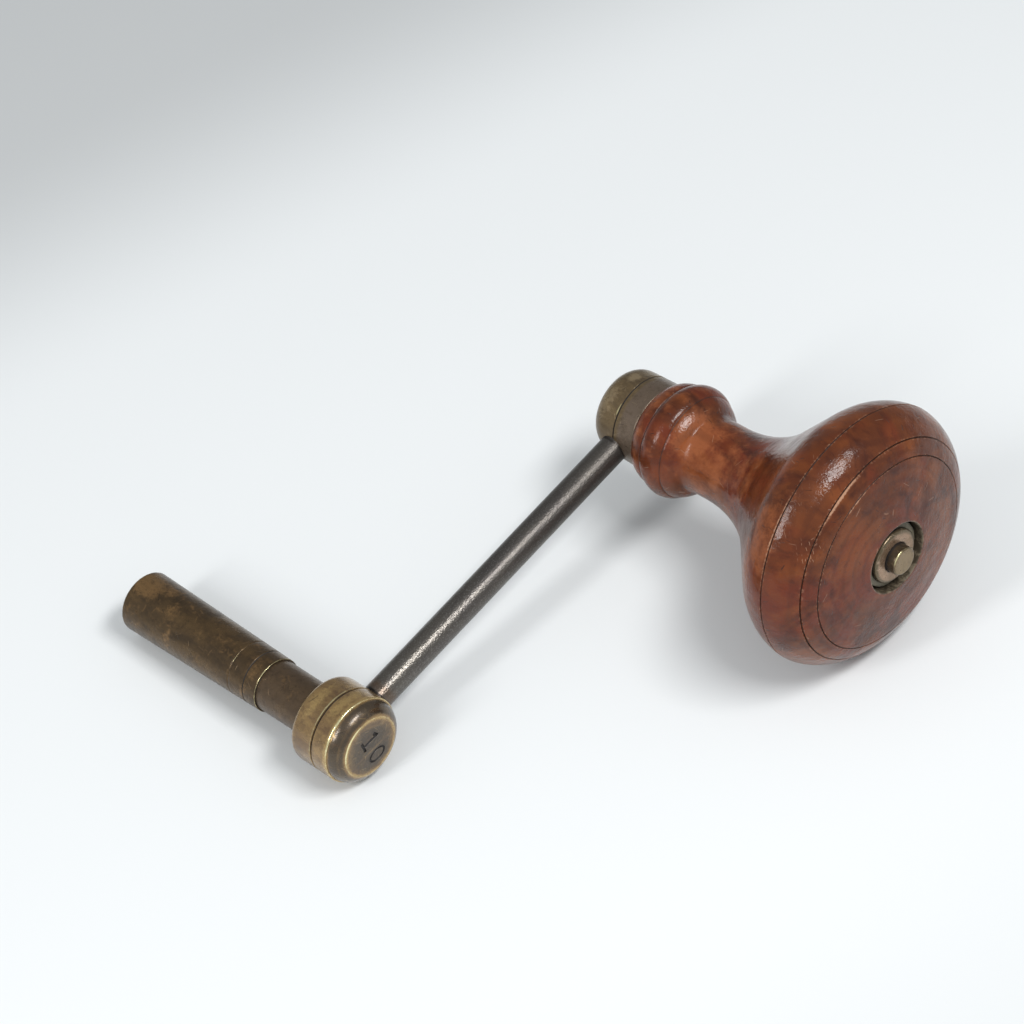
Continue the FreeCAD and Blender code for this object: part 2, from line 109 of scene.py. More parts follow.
MOUTH_AT, TENON_AT, MOUTH_R = stations("key_barrel", False)
HUB_BACK, HUB_FACE, HUB_R = stations("hub", False)
BOSS_BACK, BOSS_FRONT, BOSS_R = stations("handle_boss", True)
PIN_ROOT, PIN_END, PIN_R = stations("handle_pin", True)
KNOB_BASE, KNOB_END = stations("knob", True)[:2]
WASHER_AT, WASHER_TOP, WASHER_R = stations("loose_washer", True)
COLLAR_AT, COLLAR_TOP, COLLAR_R = stations("pin_collar", True)
print(f"barrel from {MOUTH_AT:.2f} mm, hub from {HUB_BACK:.2f} to {HUB_FACE:.2f} mm")
print(f"boss from {BOSS_BACK:.2f} to {BOSS_FRONT:.2f} mm, knob from {KNOB_BASE:.2f} to {KNOB_END:.2f} mm")

# %% [markdown]
# ## The camera
# The photograph looks down on the key from over its right shoulder, with a long lens and a slight roll. Its
# perspective was solved from the turned rings, and gives a distance, two angles, a roll and a lens.

# %% Place the camera
AIM = KEY @ (Vector((-5.25, 41.01, 0.0)) * MM)
DISTANCE = 0.56544
AZIMUTH = math.radians(50.648)
ELEVATION = math.radians(46.192)
ROLL = math.radians(-9.224)
LENS = 139.18

level_part = math.cos(ELEVATION)
back = Vector((math.sin(AZIMUTH) * level_part, -math.cos(AZIMUTH) * level_part, math.sin(ELEVATION)))
turn = (-back).to_track_quat("-Z", "Y") @ Matrix.Rotation(ROLL, 3, "Z").to_quaternion()
bpy.ops.object.camera_add(location=AIM + back * DISTANCE, rotation=turn.to_euler())
camera = bpy.context.object
camera.name = "photo_camera"
camera.data.lens = LENS
camera.data.sensor_width = 36.0
camera.data.clip_start = 0.05
bpy.context.scene.camera = camera
print("camera at", tuple(round(c, 4) for c in camera.location))

# %% [markdown]
# ## Draw a half outline
# Every piece but the stamp is turned on a lathe, so one half outline gives it all. An outline is a list of
# points (length, radius). Arcs come from a formula, and two small tools work on a finished outline: one
# cuts a turned groove, and one rounds a corner, as a worn edge is never sharp.

# %% Outline tools
ARC_STEP = math.radians(5.0)
GROOVE_STEPS = 8
LIP_SOFTNESS = 1.5
CORNER_STEPS = 4
NEARLY = 1e-6


def arc(start, end, swell):
    """Points of an arc from start to end, whose middle stands swell outside their straight line."""
    start, end = Vector(start), Vector(end)
    chord = end - start
    radius = chord.length ** 2 / (8 * abs(swell)) + abs(swell) / 2
    half = math.asin(chord.length / 2 / radius)
    along = chord.normalized()
    outward = Vector((-along.y, along.x)) * math.copysign(1, swell)
    count = max(3, math.ceil(2 * half / ARC_STEP))
    points = []
    for i in range(1, count + 1):
        angle = half * (2 * i / count - 1)
        rise = radius * (math.cos(angle) - math.cos(half))
        points.append((start + end) / 2 + along * radius * math.sin(angle) + outward * rise)
    return points


def sweep(start, radius, heading, turn_to):
    """Points of an arc that leaves start at one slope and ends at another, both in degrees."""
    side = math.copysign(1, turn_to - heading)
    first, last = math.radians(heading), math.radians(turn_to)
    centre = Vector(start) + Vector((-math.sin(first), math.cos(first))) * side * radius
    count = max(2, math.ceil(abs(last - first) / ARC_STEP))
    angles = [first + (last - first) * i / count for i in range(1, count + 1)]
    return [centre + Vector((math.sin(a), -math.cos(a))) * side * radius for a in angles]


def reshape(points, place, reach, new_points):
    """Replaces the stretch of an outline within reach of a place by what new_points makes of its ends."""
    points = [Vector(p) for p in points]
    lengths = np.concatenate([[0], np.cumsum([(b - a).length for a, b in zip(points, points[1:])])])
    xs, ys = [p.x for p in points], [p.y for p in points]
    nearest = min(range(len(points)), key=lambda i: (points[i] - Vector(place)).length)
    at = lengths[nearest]

    def on_line(s):
        return Vector((float(np.interp(s, lengths, xs)), float(np.interp(s, lengths, ys))))

    made = new_points(on_line(at - reach), points[nearest], on_line(at + reach))
    before = [p for p, s in zip(points, lengths) if s < at - reach - NEARLY]
    after = [p for p, s in zip(points, lengths) if s > at + reach + NEARLY]
    return before + made + after


def groove(points, place, width, depth):
    """Cuts a round-bottomed groove with soft lips, centred on a place that the outline passes through."""
    def hollow(first, middle, last):
        across = (last - first).normalized()
        inward = Vector((across.y, -across.x))
        shares = [i / GROOVE_STEPS for i in range(GROOVE_STEPS + 1)]
        dips = [depth * math.sin(math.pi * t) ** LIP_SOFTNESS for t in shares]
        return [first.lerp(last, t) + inward * d for t, d in zip(shares, dips)]
    return reshape(points, place, width / 2, hollow)


def soften(points, place, size):
    """Rounds the outline's corner at a place."""
    def round_off(first, corner, last):
        shares = [i / CORNER_STEPS for i in range(CORNER_STEPS + 1)]
        return [first.lerp(corner, t).lerp(corner.lerp(last, t), t) for t in shares]
    return reshape(points, place, size, round_off)


def even(points, longest):
    """Divides the long straight runs of an outline, so that a mark stored on its points stays narrow."""
    points = [Vector(p) for p in points]
    made = points[:1]
    for a, b in zip(points, points[1:]):
        count = max(1, math.ceil((b - a).length / longest))
        made += [a.lerp(b, i / count) for i in range(1, count + 1)]
    return made


# %% [markdown]
# ## Turn a piece
# A plane is merged to a single vertex, the vertex is extruded from point to point along the outline, and
# the line is spun round the X axis, as a lathe would do it. The seam and the poles are then merged, and the
# normals are made to point outwards. A piece is made large, one unit to the millimetre, because booleans
# and merging lose fine detail in a mesh of real size. It is scaled down when it is laid in its place. Worn
# edges, painted glints, dirty grooves, warm patches, scuffs and zones with another finish are stored on the
# vertices as attributes, so that the finish can find them. Worn edges and painted glints share one attribute.

# %% Lathe
AROUND = 160
THIN_AROUND = 96
MERGE = 0.0005
FLATNESS = 0.001
SMOOTH_BELOW = math.radians(35.0)


def turned(name, points, steps=AROUND, longest=0.3):
    """A closed mesh, turned about the X axis from a half outline, one unit to the millimetre."""
    points = even(points, longest)
    bpy.ops.mesh.primitive_plane_add(size=1)
    piece = bpy.context.object
    piece.name = piece.data.name = name
    bpy.ops.object.mode_set(mode="EDIT")
    bpy.ops.mesh.select_mode(type="VERT")
    bpy.ops.mesh.merge(type="CENTER")
    here = Vector((0, 0))
    for i, point in enumerate(points):
        move = Vector(point) - here
        here = Vector(point)
        if i == 0:
            bpy.ops.transform.translate(value=(move.x, move.y, 0))
        else:
            bpy.ops.mesh.extrude_vertices_move(TRANSFORM_OT_translate={"value": (move.x, move.y, 0)})
    bpy.ops.mesh.select_all(action="SELECT")
    bpy.ops.mesh.spin(steps=steps, angle=2 * math.pi, center=(0, 0, 0), axis=(1, 0, 0))
    bpy.ops.mesh.select_all(action="SELECT")
    bpy.ops.mesh.remove_doubles(threshold=MERGE)
    bpy.ops.mesh.normals_make_consistent(inside=False)
    bpy.ops.object.mode_set(mode="OBJECT")
    return piece


def pick(piece):
    """Selects a piece alone and makes it the active one."""
    bpy.ops.object.select_all(action="DESELECT")
    bpy.context.view_layer.objects.active = piece
    piece.select_set(True)


def cut(piece, cutter):
    """Takes one shape away from another, and removes the cutter."""
    pick(piece)
    boolean = piece.modifiers.new("cut", "BOOLEAN")
    boolean.operation = "DIFFERENCE"
    boolean.solver = "EXACT"
    boolean.object = cutter
    bpy.ops.object.modifier_apply(modifier=boolean.name)
    bpy.data.objects.remove(cutter)


def join_flat(piece, at, radius):
    """Makes a single face of a flat end's faces within a radius, so that cuts into it stay clean."""
    bpy.ops.object.mode_set(mode="EDIT")
    bpy.ops.mesh.select_mode(type="FACE")
    bpy.ops.mesh.select_all(action="DESELECT")
    bpy.ops.object.mode_set(mode="OBJECT")
    for face in piece.data.polygons:
        corners = [piece.data.vertices[i].co for i in face.vertices]
        face.select = all(abs(c.x - at) < FLATNESS and math.hypot(c.y, c.z) < radius for c in corners)
    bpy.ops.object.mode_set(mode="EDIT")
    bpy.ops.mesh.dissolve_faces()
    bpy.ops.object.mode_set(mode="OBJECT")


def mark(piece, wear_and_glint=(), dirt=(), zone=(), warm=(), scuff=()):
    """Stores how strongly each vertex has each mark.

    A spot is (length, radius, reach, strength) and goes all round the piece. Two more numbers keep it to an
    arc: the angle of its middle, in degrees from the arm's side, and how far it spreads.
    """
    co = np.zeros(len(piece.data.vertices) * 3, np.float32)
    piece.data.vertices.foreach_get("co", co)
    x, y, z = co.reshape(-1, 3).T
    radius, angle = np.hypot(y, z), np.degrees(np.arctan2(z, y))
    marks = {"wear_and_glint": wear_and_glint, "dirt": dirt, "zone": zone, "warm": warm, "scuff": scuff}
    for name, spots in marks.items():
        total = np.zeros(len(x))
        for at, r, reach, strength, *part in spots:
            found = strength * np.exp(-((x - at) ** 2 + (radius - r) ** 2) / reach ** 2)
            if part:
                middle, spread = part
                found *= np.exp(-(((angle - middle + 180) % 360 - 180) / spread) ** 2)
            total = np.maximum(total, found)
        attribute = piece.data.attributes.new(name, "FLOAT", "POINT")
        attribute.data.foreach_set("value", total.astype(np.float32))


def row(place, step, count, *rest):
    """Spots in a row that together mark a longer stretch. Each lies one step (length, radius) further on."""
    return [(place[0] + step[0] * i, place[1] + step[1] * i, *rest) for i in range(count)]


def open_edges(piece):
    """The number of edges that don't join two faces. A closed piece has none."""
    mesh = bmesh.new()
    mesh.from_mesh(piece.data)
    count = sum(len(edge.link_faces) != 2 for edge in mesh.edges)
    mesh.free()
    return count


def lay_down(piece, node, body, on_knob_axis):
    """Smooths a finished piece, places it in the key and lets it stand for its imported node."""
    pick(piece)
    bpy.ops.object.shade_smooth_by_angle(angle=SMOOTH_BELOW)
    across = THROW * MM if on_knob_axis else 0.0
    place = KEY @ Matrix.Translation((0, across, 0)) @ Matrix.Scale(MM, 4)
    piece.matrix_world = place @ piece.matrix_world
    bpy.ops.object.transform_apply(location=True, rotation=True, scale=True)
    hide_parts(node)
    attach(piece, body)
    piece.select_set(False)
    print(f"{piece.name}: {len(piece.data.polygons)} faces, {open_edges(piece)} open edges")
    return piece


# %% [markdown]
# ## The barrel
# On the real key this is the tube that goes over the clock's square arbor: slightly tapered, with two fine
# turned lines near a shoulder, and a thinner neck that runs into the hub. The outside is turned. The round
# hole and the square are then cut out of it with booleans, as they were drilled and broached.

# %% Turn the barrel
MOUTH_CHAMFER = 0.3
SLEEVE_LENGTH = 28.1
SLEEVE_TAPER = 0.48
SHOULDER_STEP = 0.25
TENON_STEP = 1.15
NEAR_LINE_BACK = 2.5
FAR_LINE_BACK = 5.45
NEAR_LINE_CUT = (0.3, 0.13)
FAR_LINE_CUT = (0.2, 0.05)
MOUTH_WORN = 0.2
MOUTH_FACE_WORN = 0.15
SHOULDER_WORN = 0.1
SQUARE = 5.0
SQUARE_DEPTH = 15.0
DRILL_R = 2.4
DRILL_DEPTH = 18.0

SHOULDER_AT = MOUTH_AT + SLEEVE_LENGTH
SHOULDER_R = MOUTH_R - SLEEVE_TAPER
NECK_R = SHOULDER_R - SHOULDER_STEP
TENON_R = NECK_R - TENON_STEP


def sleeve_point(back_from_shoulder):
    """The point of the tapered sleeve that lies this far behind its shoulder."""
    taper = SLEEVE_TAPER / (SLEEVE_LENGTH - MOUTH_CHAMFER)
    return (SHOULDER_AT - back_from_shoulder, SHOULDER_R + back_from_shoulder * taper)


near_line, far_line = sleeve_point(NEAR_LINE_BACK), sleeve_point(FAR_LINE_BACK)
outline = [
    (MOUTH_AT, 0), (MOUTH_AT, MOUTH_R - MOUTH_CHAMFER), (MOUTH_AT + MOUTH_CHAMFER, MOUTH_R), far_line,
    near_line, (SHOULDER_AT, SHOULDER_R), (SHOULDER_AT, NECK_R), (HUB_BACK, NECK_R), (HUB_BACK, TENON_R),
    (TENON_AT, TENON_R), (TENON_AT, 0),
]
outline = soften(outline, (MOUTH_AT + MOUTH_CHAMFER, MOUTH_R), MOUTH_WORN)
outline = soften(outline, (MOUTH_AT, MOUTH_R - MOUTH_CHAMFER), MOUTH_FACE_WORN)
outline = groove(outline, far_line, *FAR_LINE_CUT)
outline = groove(outline, near_line, *NEAR_LINE_CUT)
outline = soften(outline, (SHOULDER_AT, SHOULDER_R), SHOULDER_WORN)
barrel = turned("barrel", outline)

bpy.ops.mesh.primitive_cylinder_add(vertices=48, radius=DRILL_R, depth=2 * DRILL_DEPTH,
                                    location=(MOUTH_AT, 0, 0), rotation=(0, math.pi / 2, 0))
cut(barrel, bpy.context.object)
bpy.ops.mesh.primitive_cube_add(size=1, location=(MOUTH_AT, 0, 0))
square = bpy.context.object
square.scale = (2 * SQUARE_DEPTH, SQUARE, SQUARE)
level = math.atan2(KEY[2][1], KEY[2][2])
square.rotation_euler = (-level, 0, 0)
cut(barrel, square)

# %% [markdown]
# Wear isn't even. The shoulder is brightest where a hand slides over it, only a part of the far line is
# rubbed, and the skin is more golden at the mouth's top and in a band a third of the way along.

# %% Mark the barrel's wear
mark(barrel,
     wear_and_glint=[(MOUTH_AT + 0.15, MOUTH_R - 0.15, 0.16, 0.5), (SHOULDER_AT - 0.03, SHOULDER_R, 0.08, 0.5),
           (SHOULDER_AT - 0.03, SHOULDER_R, 0.09, 0.8, 105, 32),
           (far_line[0] - 0.04, far_line[1], 0.06, 0.7, 105, 15)],
     dirt=[(near_line[0], near_line[1] - 0.08, 0.13, 1.0),
           (far_line[0] + 0.04, far_line[1] - 0.03, 0.06, 0.5),
           (SHOULDER_AT + 0.05, NECK_R, 0.12, 0.8), (HUB_BACK, NECK_R, 0.3, 0.9)],
     zone=row((SHOULDER_AT + 1, NECK_R), (1, 0), 9, 1.0, 0.8),
     warm=[(MOUTH_AT + 2.2, MOUTH_R, 3.2, 1.05, 76, 32), (MOUTH_AT + 6.0, MOUTH_R, 2.6, 0.6, 62, 26),
           (MOUTH_AT + 8.8, MOUTH_R, 1.8, 0.55, 97, 24), (MOUTH_AT + 9.8, MOUTH_R, 0.9, 0.7, 150, 30),
           (MOUTH_AT + 19.0, MOUTH_R, 5.0, 0.35, 95, 30), (SHOULDER_AT - 1.5, SHOULDER_R, 1.4, 0.5, 110, 35)])
lay_down(barrel, "key_barrel", "crank", False)

# %% [markdown]
# ## The hub
# The hub is the short drum that joins barrel and arm: a flange, a deep groove, a band, a bright rim, a
# rounded moulding and a flat end face. Its end face carries the stamped size number 10.

# %% Turn the hub
RIM_AT = HUB_FACE - 2.1
RIM_STEP_R = HUB_R - 0.25
FACE_R = RIM_STEP_R - 1.72
STAMPED_R = FACE_R - 0.4
MOULDING_SWELL = 0.38
BACK_ROUND = 1.0
HUB_GROOVE_CUT = (0.42, 0.36)
HUB_EDGE_WORN = 0.22

outline = [(HUB_BACK, 0), (HUB_BACK, HUB_R - BACK_ROUND)]
outline += sweep(outline[-1], BACK_ROUND, 90, 0)
outline += [(0, HUB_R), (RIM_AT, HUB_R), (RIM_AT, RIM_STEP_R)]
outline += arc(outline[-1], (HUB_FACE, FACE_R), MOULDING_SWELL) + [(HUB_FACE, 0)]
outline = groove(outline, (0, HUB_R), *HUB_GROOVE_CUT)
outline = soften(outline, (RIM_AT, HUB_R), HUB_EDGE_WORN)
outline = soften(outline, (HUB_FACE, FACE_R), HUB_EDGE_WORN)
hub = turned("hub_drum", outline)
join_flat(hub, HUB_FACE, STAMPED_R)

# %% [markdown]
# ## The stamp
# A steel punch leaves strokes with sloping walls and a flat bottom. Each stroke is a bar with six sides, set
# so that one flat side faces into the metal, and the 0 is a ring with such a section. Cutting them out
# gives real shallow figures that catch the light. The strokes of the 1 run a little past each other, because
# a boolean works best when no two faces lie in one plane. The flat end was joined to one face beforehand for
# the same reason.

# %% Stamp the number
STAMP_DEPTH = 0.2
ZERO_DEPTH = 0.12
FIGURE_TALL = 2.8
ONE_ASIDE = -1.0
ZERO_ASIDE = 2.2
FIGURES_UP = 0.42
SERIF = 0.95
ZERO_TALL = FIGURE_TALL + 0.3
ZERO_WIDE = 2.1
ZERO_STROKE = 0.36


def bar(start, end, width, depth):
    """A bar with six sides from start to end, one flat side of which faces along -X."""
    start, end = Vector(start), Vector(end)
    bpy.ops.mesh.primitive_cylinder_add(vertices=6, radius=0.5, depth=1)
    stroke = bpy.context.object
    along = (end - start).normalized()
    inward = Vector((1, 0, 0))
    aside = along.cross(inward).normalized()
    inward = aside.cross(along)
    place = Matrix((inward * 2 * depth, aside * width, (end - start))).transposed().to_4x4()
    place.translation = (start + end) / 2
    stroke.matrix_world = place
    return stroke


def figure_point(aside, up):
    """A point of the end face: aside runs the way the number reads, up runs towards the arm."""
    return (HUB_FACE, FIGURES_UP + up, -aside)


half_tall = FIGURE_TALL / 2
# The stem, the foot and the flag of the 1: both ends, the width and the depth as a share of the stem's.
one_strokes = [
    ((0, -half_tall - 0.13), (0, half_tall + 0.03), 0.5, 1.0),
    ((-SERIF, -half_tall), (SERIF, -half_tall), 0.46, 0.93),
    ((-0.72, half_tall - 0.52), (0.17, half_tall - 0.06), 0.58, 1.04),
]
for start, end, width, depth_share in one_strokes:
    ends = [figure_point(ONE_ASIDE + aside, up) for aside, up in (start, end)]
    cut(hub, bar(*ends, width, STAMP_DEPTH * depth_share))


def zero_cutter(tall, wide, stroke, depth):
    """A ring of six-sided section, oval like the figure 0, from circles joined by bridges."""
    bpy.ops.mesh.primitive_circle_add(vertices=47, radius=0.5, rotation=(0, math.pi / 2, 0))
    ring = bpy.context.object
    bpy.ops.object.transform_apply(location=False, rotation=True, scale=False)
    corners = [(0, 0), (0.5, -depth), (1.5, -depth), (2, 0), (1.5, depth), (0.5, depth)]
    sections = [(tall - in_by * stroke, wide - in_by * stroke, out) for in_by, out in corners]
    ring.scale = (1, sections[0][0], sections[0][1])
    bpy.ops.object.transform_apply(location=False, rotation=False, scale=True)
    bpy.ops.object.mode_set(mode="EDIT")
    bpy.ops.mesh.select_all(action="SELECT")
    for old, new in zip(sections, sections[1:] + sections[:1]):
        bpy.ops.mesh.extrude_edges_move(TRANSFORM_OT_translate={"value": (new[2] - old[2], 0, 0)})
        bpy.ops.transform.resize(value=(1, new[0] / old[0], new[1] / old[1]))
    bpy.ops.mesh.select_all(action="SELECT")
    bpy.ops.mesh.remove_doubles(threshold=1e-4)
    bpy.ops.mesh.normals_make_consistent(inside=False)
    bpy.ops.object.mode_set(mode="OBJECT")
    ring.location = figure_point(ZERO_ASIDE, 0)
    return ring


cut(hub, zero_cutter(ZERO_TALL, ZERO_WIDE, ZERO_STROKE, ZERO_DEPTH))

# %% [markdown]
# The arm's hole comes last. It is a little wider than the rod, which leaves the fine dark line that shows
# where the rod goes in. The attributes are stored after the cuts, because a boolean makes new vertices.

# %% Drill for the arm and mark the wear
rod_points = key_points("crank_arm")
ARM_FROM, ARM_TO = min(p.y for p in rod_points), max(p.y for p in rod_points)
ARM_R = max(abs(p.x) for p in rod_points)
HOLE_GAP = 0.03
HUB_SEAT = 3.2
NICK_AT, NICK_R = RIM_AT + 1.16, 6.04


def arm_hole(at_v, length):
    """The cutter for the hole that holds the arm, along V."""
    bpy.ops.mesh.primitive_cylinder_add(vertices=95, radius=ARM_R + HOLE_GAP, depth=length,
                                        location=(0, at_v, 0), rotation=(math.pi / 2, 0, 0))
    return bpy.context.object


cut(hub, arm_hole(HUB_R, 2 * (HUB_R - HUB_SEAT)))
# The stronger arcs of wear on the front rim and round the end face are painted highlights as well as wear.
mark(hub,
     wear_and_glint=[(RIM_AT - 0.06, HUB_R - 0.06, 0.15, 0.5), (RIM_AT - 0.08, HUB_R - 0.04, 0.17, 1.15, 110, 45),
           (HUB_FACE - 0.04, FACE_R + 0.03, 0.13, 0.45),
           (HUB_FACE - 0.05, FACE_R + 0.03, 0.14, 1.15, 128, 48),
           (-0.24, HUB_R, 0.06, 0.6), (-0.24, HUB_R, 0.07, 1.0, 95, 40),
           (NICK_AT, NICK_R, 0.12, 0.75, 115, 1.6)],
     dirt=[(0, HUB_R - 0.32, 0.25, 0.95), (RIM_AT + 0.14, RIM_STEP_R, 0.1, 0.4)]
     + row((HUB_FACE, 0), (0, 0.4), 10, 0.4, 0.42),
     zone=[(RIM_AT + 0.8, HUB_R - 0.6, 0.9, 1.0), (RIM_AT + 1.6, HUB_R - 1.3, 0.6, 0.8)]
     + row((HUB_FACE, 0), (0, 0.4), 10, 0.6, 1.0),
     warm=[(RIM_AT - 0.25, HUB_R, 0.45, 0.9), (HUB_FACE, FACE_R - 0.05, 0.3, 0.8),
           (RIM_AT - 1.7, HUB_R, 1.2, 0.8, 75, 40), (HUB_BACK + 2.1, HUB_R, 1.1, 0.7, 95, 35),
           (HUB_BACK + 0.5, HUB_R - 0.4, 0.5, 0.6)])
lay_down(hub, "hub", "crank", False)

# %% [markdown]
# ## The arm
# A plain drawn steel rod. Its ends are chamfered and sit out of sight in the hub and the boss.

# %% Turn the arm
ROD_CHAMFER = 0.3
outline = [(ARM_FROM, 0), (ARM_FROM, ARM_R - ROD_CHAMFER), (ARM_FROM + ROD_CHAMFER, ARM_R),
           (ARM_TO - ROD_CHAMFER, ARM_R), (ARM_TO, ARM_R - ROD_CHAMFER), (ARM_TO, 0)]
arm = turned("arm_rod", outline, steps=THIN_AROUND)
arm.matrix_world = Matrix.Rotation(math.pi / 2, 4, "Z")
mark(arm, dirt=[(HUB_R - 0.2, ARM_R, 0.4, 0.7), (THROW - BOSS_R + 0.1, ARM_R, 0.35, 0.7)],
     zone=[(HUB_R + 0.8, ARM_R, 1.6, 0.6)])
lay_down(arm, "crank_arm", "crank", False)

# %% [markdown]
# ## The boss
# The boss is the drum at the arm's far end that holds the knob's pin. Its back edge is well rounded, one
# fine groove runs round it, and the arm goes in at its side. The rounding is an arc that was fitted to the
# photograph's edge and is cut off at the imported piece's back, so it starts at a slope of 60 degrees. Up to
# the groove the drum is a little thinner than at its front.

# %% Turn the boss
BOSS_FLAT_R = 5.0
BOSS_ROUND = 3.0
BOSS_ROUND_SLOPE = 60.0
BOSS_LINE = 0.3
BOSS_LINE_R = BOSS_R - 0.1
BOSS_LINE_CUT = (0.34, 0.24)
BOSS_CHAMFER = 0.2
BOSS_SEAT = 2.2
BOSS_BACK_WORN = 0.6
BOSS_FRONT_WORN = 0.12

outline = [(BOSS_BACK, 0), (BOSS_BACK, BOSS_FLAT_R)]
outline += sweep(outline[-1], BOSS_ROUND, BOSS_ROUND_SLOPE, 0)
outline += [(BOSS_LINE, BOSS_LINE_R), (BOSS_FRONT - BOSS_CHAMFER, BOSS_R),
            (BOSS_FRONT, BOSS_R - BOSS_CHAMFER), (BOSS_FRONT, 0)]
outline = soften(outline, (BOSS_BACK, BOSS_FLAT_R), BOSS_BACK_WORN)
outline = groove(outline, (BOSS_LINE, BOSS_LINE_R), *BOSS_LINE_CUT)
outline = soften(outline, (BOSS_FRONT - BOSS_CHAMFER, BOSS_R), BOSS_FRONT_WORN)
boss = turned("arm_boss", outline)
cut(boss, arm_hole(-BOSS_R, 2 * (BOSS_R - BOSS_SEAT)))
mark(boss,
     wear_and_glint=[(BOSS_LINE - 0.2, BOSS_LINE_R, 0.07, 1.1, 121, 8)],
     dirt=[(BOSS_LINE, BOSS_LINE_R - 0.17, 0.17, 1.1), (BOSS_FRONT, BOSS_R - 0.1, 0.2, 0.7)],
     zone=row((BOSS_FRONT, BOSS_R), (-0.8, 0), 4, 0.9, 0.9),
     warm=[(BOSS_LINE - 1.7, BOSS_LINE_R, 1.0, 1.0, 70, 11),
           (BOSS_LINE - 2.9, BOSS_LINE_R - 0.3, 1.8, 0.65, 115, 30)])
lay_down(boss, "handle_boss", "crank", True)

# %% [markdown]
# ## The knob
# One piece of turned wood. From its base: a base ring, a bead between two grooves, a small bulb, a narrow
# neck, a hollow flare, the big bulb with a groove at its widest, a rounded crown with two more grooves and a
# shallow dome with a recess. The outline leaves the neck at slope 0 and is followed by its slopes.

# %% Turn the knob
BASE_LENGTH = 2.4
BEAD_LENGTH = 3.8
BULB_LENGTH = 2.3
COVE_LENGTH = 1.4
NECK_LENGTH = 2.3
FLARE_R = 17.2
FLARE_SLOPE = 46.0
SHOULDER_ROUND = 8.05
LIP_SLOPE = 2.0
CROWN_R = 19.755
CROWN_ROUND = 7.6
CROWN_SLOPE = -9.5
FOURTH_SLOPE = -51.8
DOME_R = 57.7
RECESS_R = 5.37
RECESS_DEPTH = 2.4
RECESS_RIM_WORN = 0.3
WAIST_R = 5.8
BASE_R, FIRST_RING_R, SECOND_RING_R = 7.1, 7.95, 7.88
BASE_SWELL, BEAD_SWELL, BULB_SWELL = 0.22, 0.7, 0.22
COVE_RISE, COVE_DIP = 0.25, 0.08
BORE_R = PIN_R + 0.08
RING_CUTS = [(0.30, 0.16), (0.50, 0.07), (0.30, 0.18), (0.30, 0.17), (0.26, 0.14)]

first_ring = (KNOB_BASE + BASE_LENGTH, FIRST_RING_R)
second_ring = (first_ring[0] + BEAD_LENGTH, SECOND_RING_R)
bulb_end = Vector((second_ring[0] + BULB_LENGTH, WAIST_R + COVE_RISE))
waist = (bulb_end.x + COVE_LENGTH, WAIST_R)
outline = [(KNOB_BASE, BORE_R), (KNOB_BASE, BASE_R)]
outline += arc(outline[-1], first_ring, BASE_SWELL)
outline += arc(first_ring, second_ring, BEAD_SWELL)
outline += arc(second_ring, bulb_end, BULB_SWELL)
outline += arc(bulb_end, waist, -COVE_DIP)
outline += [(waist[0] + NECK_LENGTH / 2, WAIST_R), (waist[0] + NECK_LENGTH, WAIST_R)]
outline += sweep(outline[-1], FLARE_R, 0, FLARE_SLOPE)
flare_end = Vector(outline[-1])
slope, lip = math.radians(FLARE_SLOPE), math.radians(LIP_SLOPE)
third_r = CROWN_R - CROWN_ROUND * (1 - math.cos(math.radians(CROWN_SLOPE)))
full_r = third_r - SHOULDER_ROUND * (math.cos(lip) - math.cos(slope))
full = flare_end + Vector((1, math.tan(slope))) * (full_r - flare_end.y) / math.tan(slope)
outline += [flare_end.lerp(full, t) for t in (0.25, 0.5, 0.75, 1.0)]
outline += sweep(full, SHOULDER_ROUND, FLARE_SLOPE, LIP_SLOPE)
third_ring = outline[-1]
crown = sweep(third_ring, CROWN_ROUND, CROWN_SLOPE, FOURTH_SLOPE)
fourth_ring = crown[-1]
leaning = math.radians(-CROWN_SLOPE)
crown_centre = Vector(third_ring) - Vector((math.sin(leaning), math.cos(leaning))) * CROWN_ROUND
dome_slope = -90 + math.degrees(math.asin(crown_centre.y / (DOME_R - CROWN_ROUND)))
crown += sweep(fourth_ring, CROWN_ROUND, FOURTH_SLOPE, dome_slope)
fifth_ring = crown[-2]
outline += crown
rim_slope = -90 + math.degrees(math.asin(RECESS_R / DOME_R))
outline += sweep(crown[-1], DOME_R, dome_slope, rim_slope)
recess_rim = outline[-1]
recess_floor = KNOB_END - RECESS_DEPTH
outline += [(recess_floor, RECESS_R), (recess_floor, BORE_R), (KNOB_BASE, BORE_R)]
rings = [Vector(r) for r in (first_ring, second_ring, third_ring, fourth_ring, fifth_ring)]
for ring, (width, depth) in zip(rings, RING_CUTS):
    outline = groove(outline, ring, width, depth)
outline = soften(outline, recess_rim, RECESS_RIM_WORN)
knob = turned("wood_knob", outline, steps=192, longest=0.5)
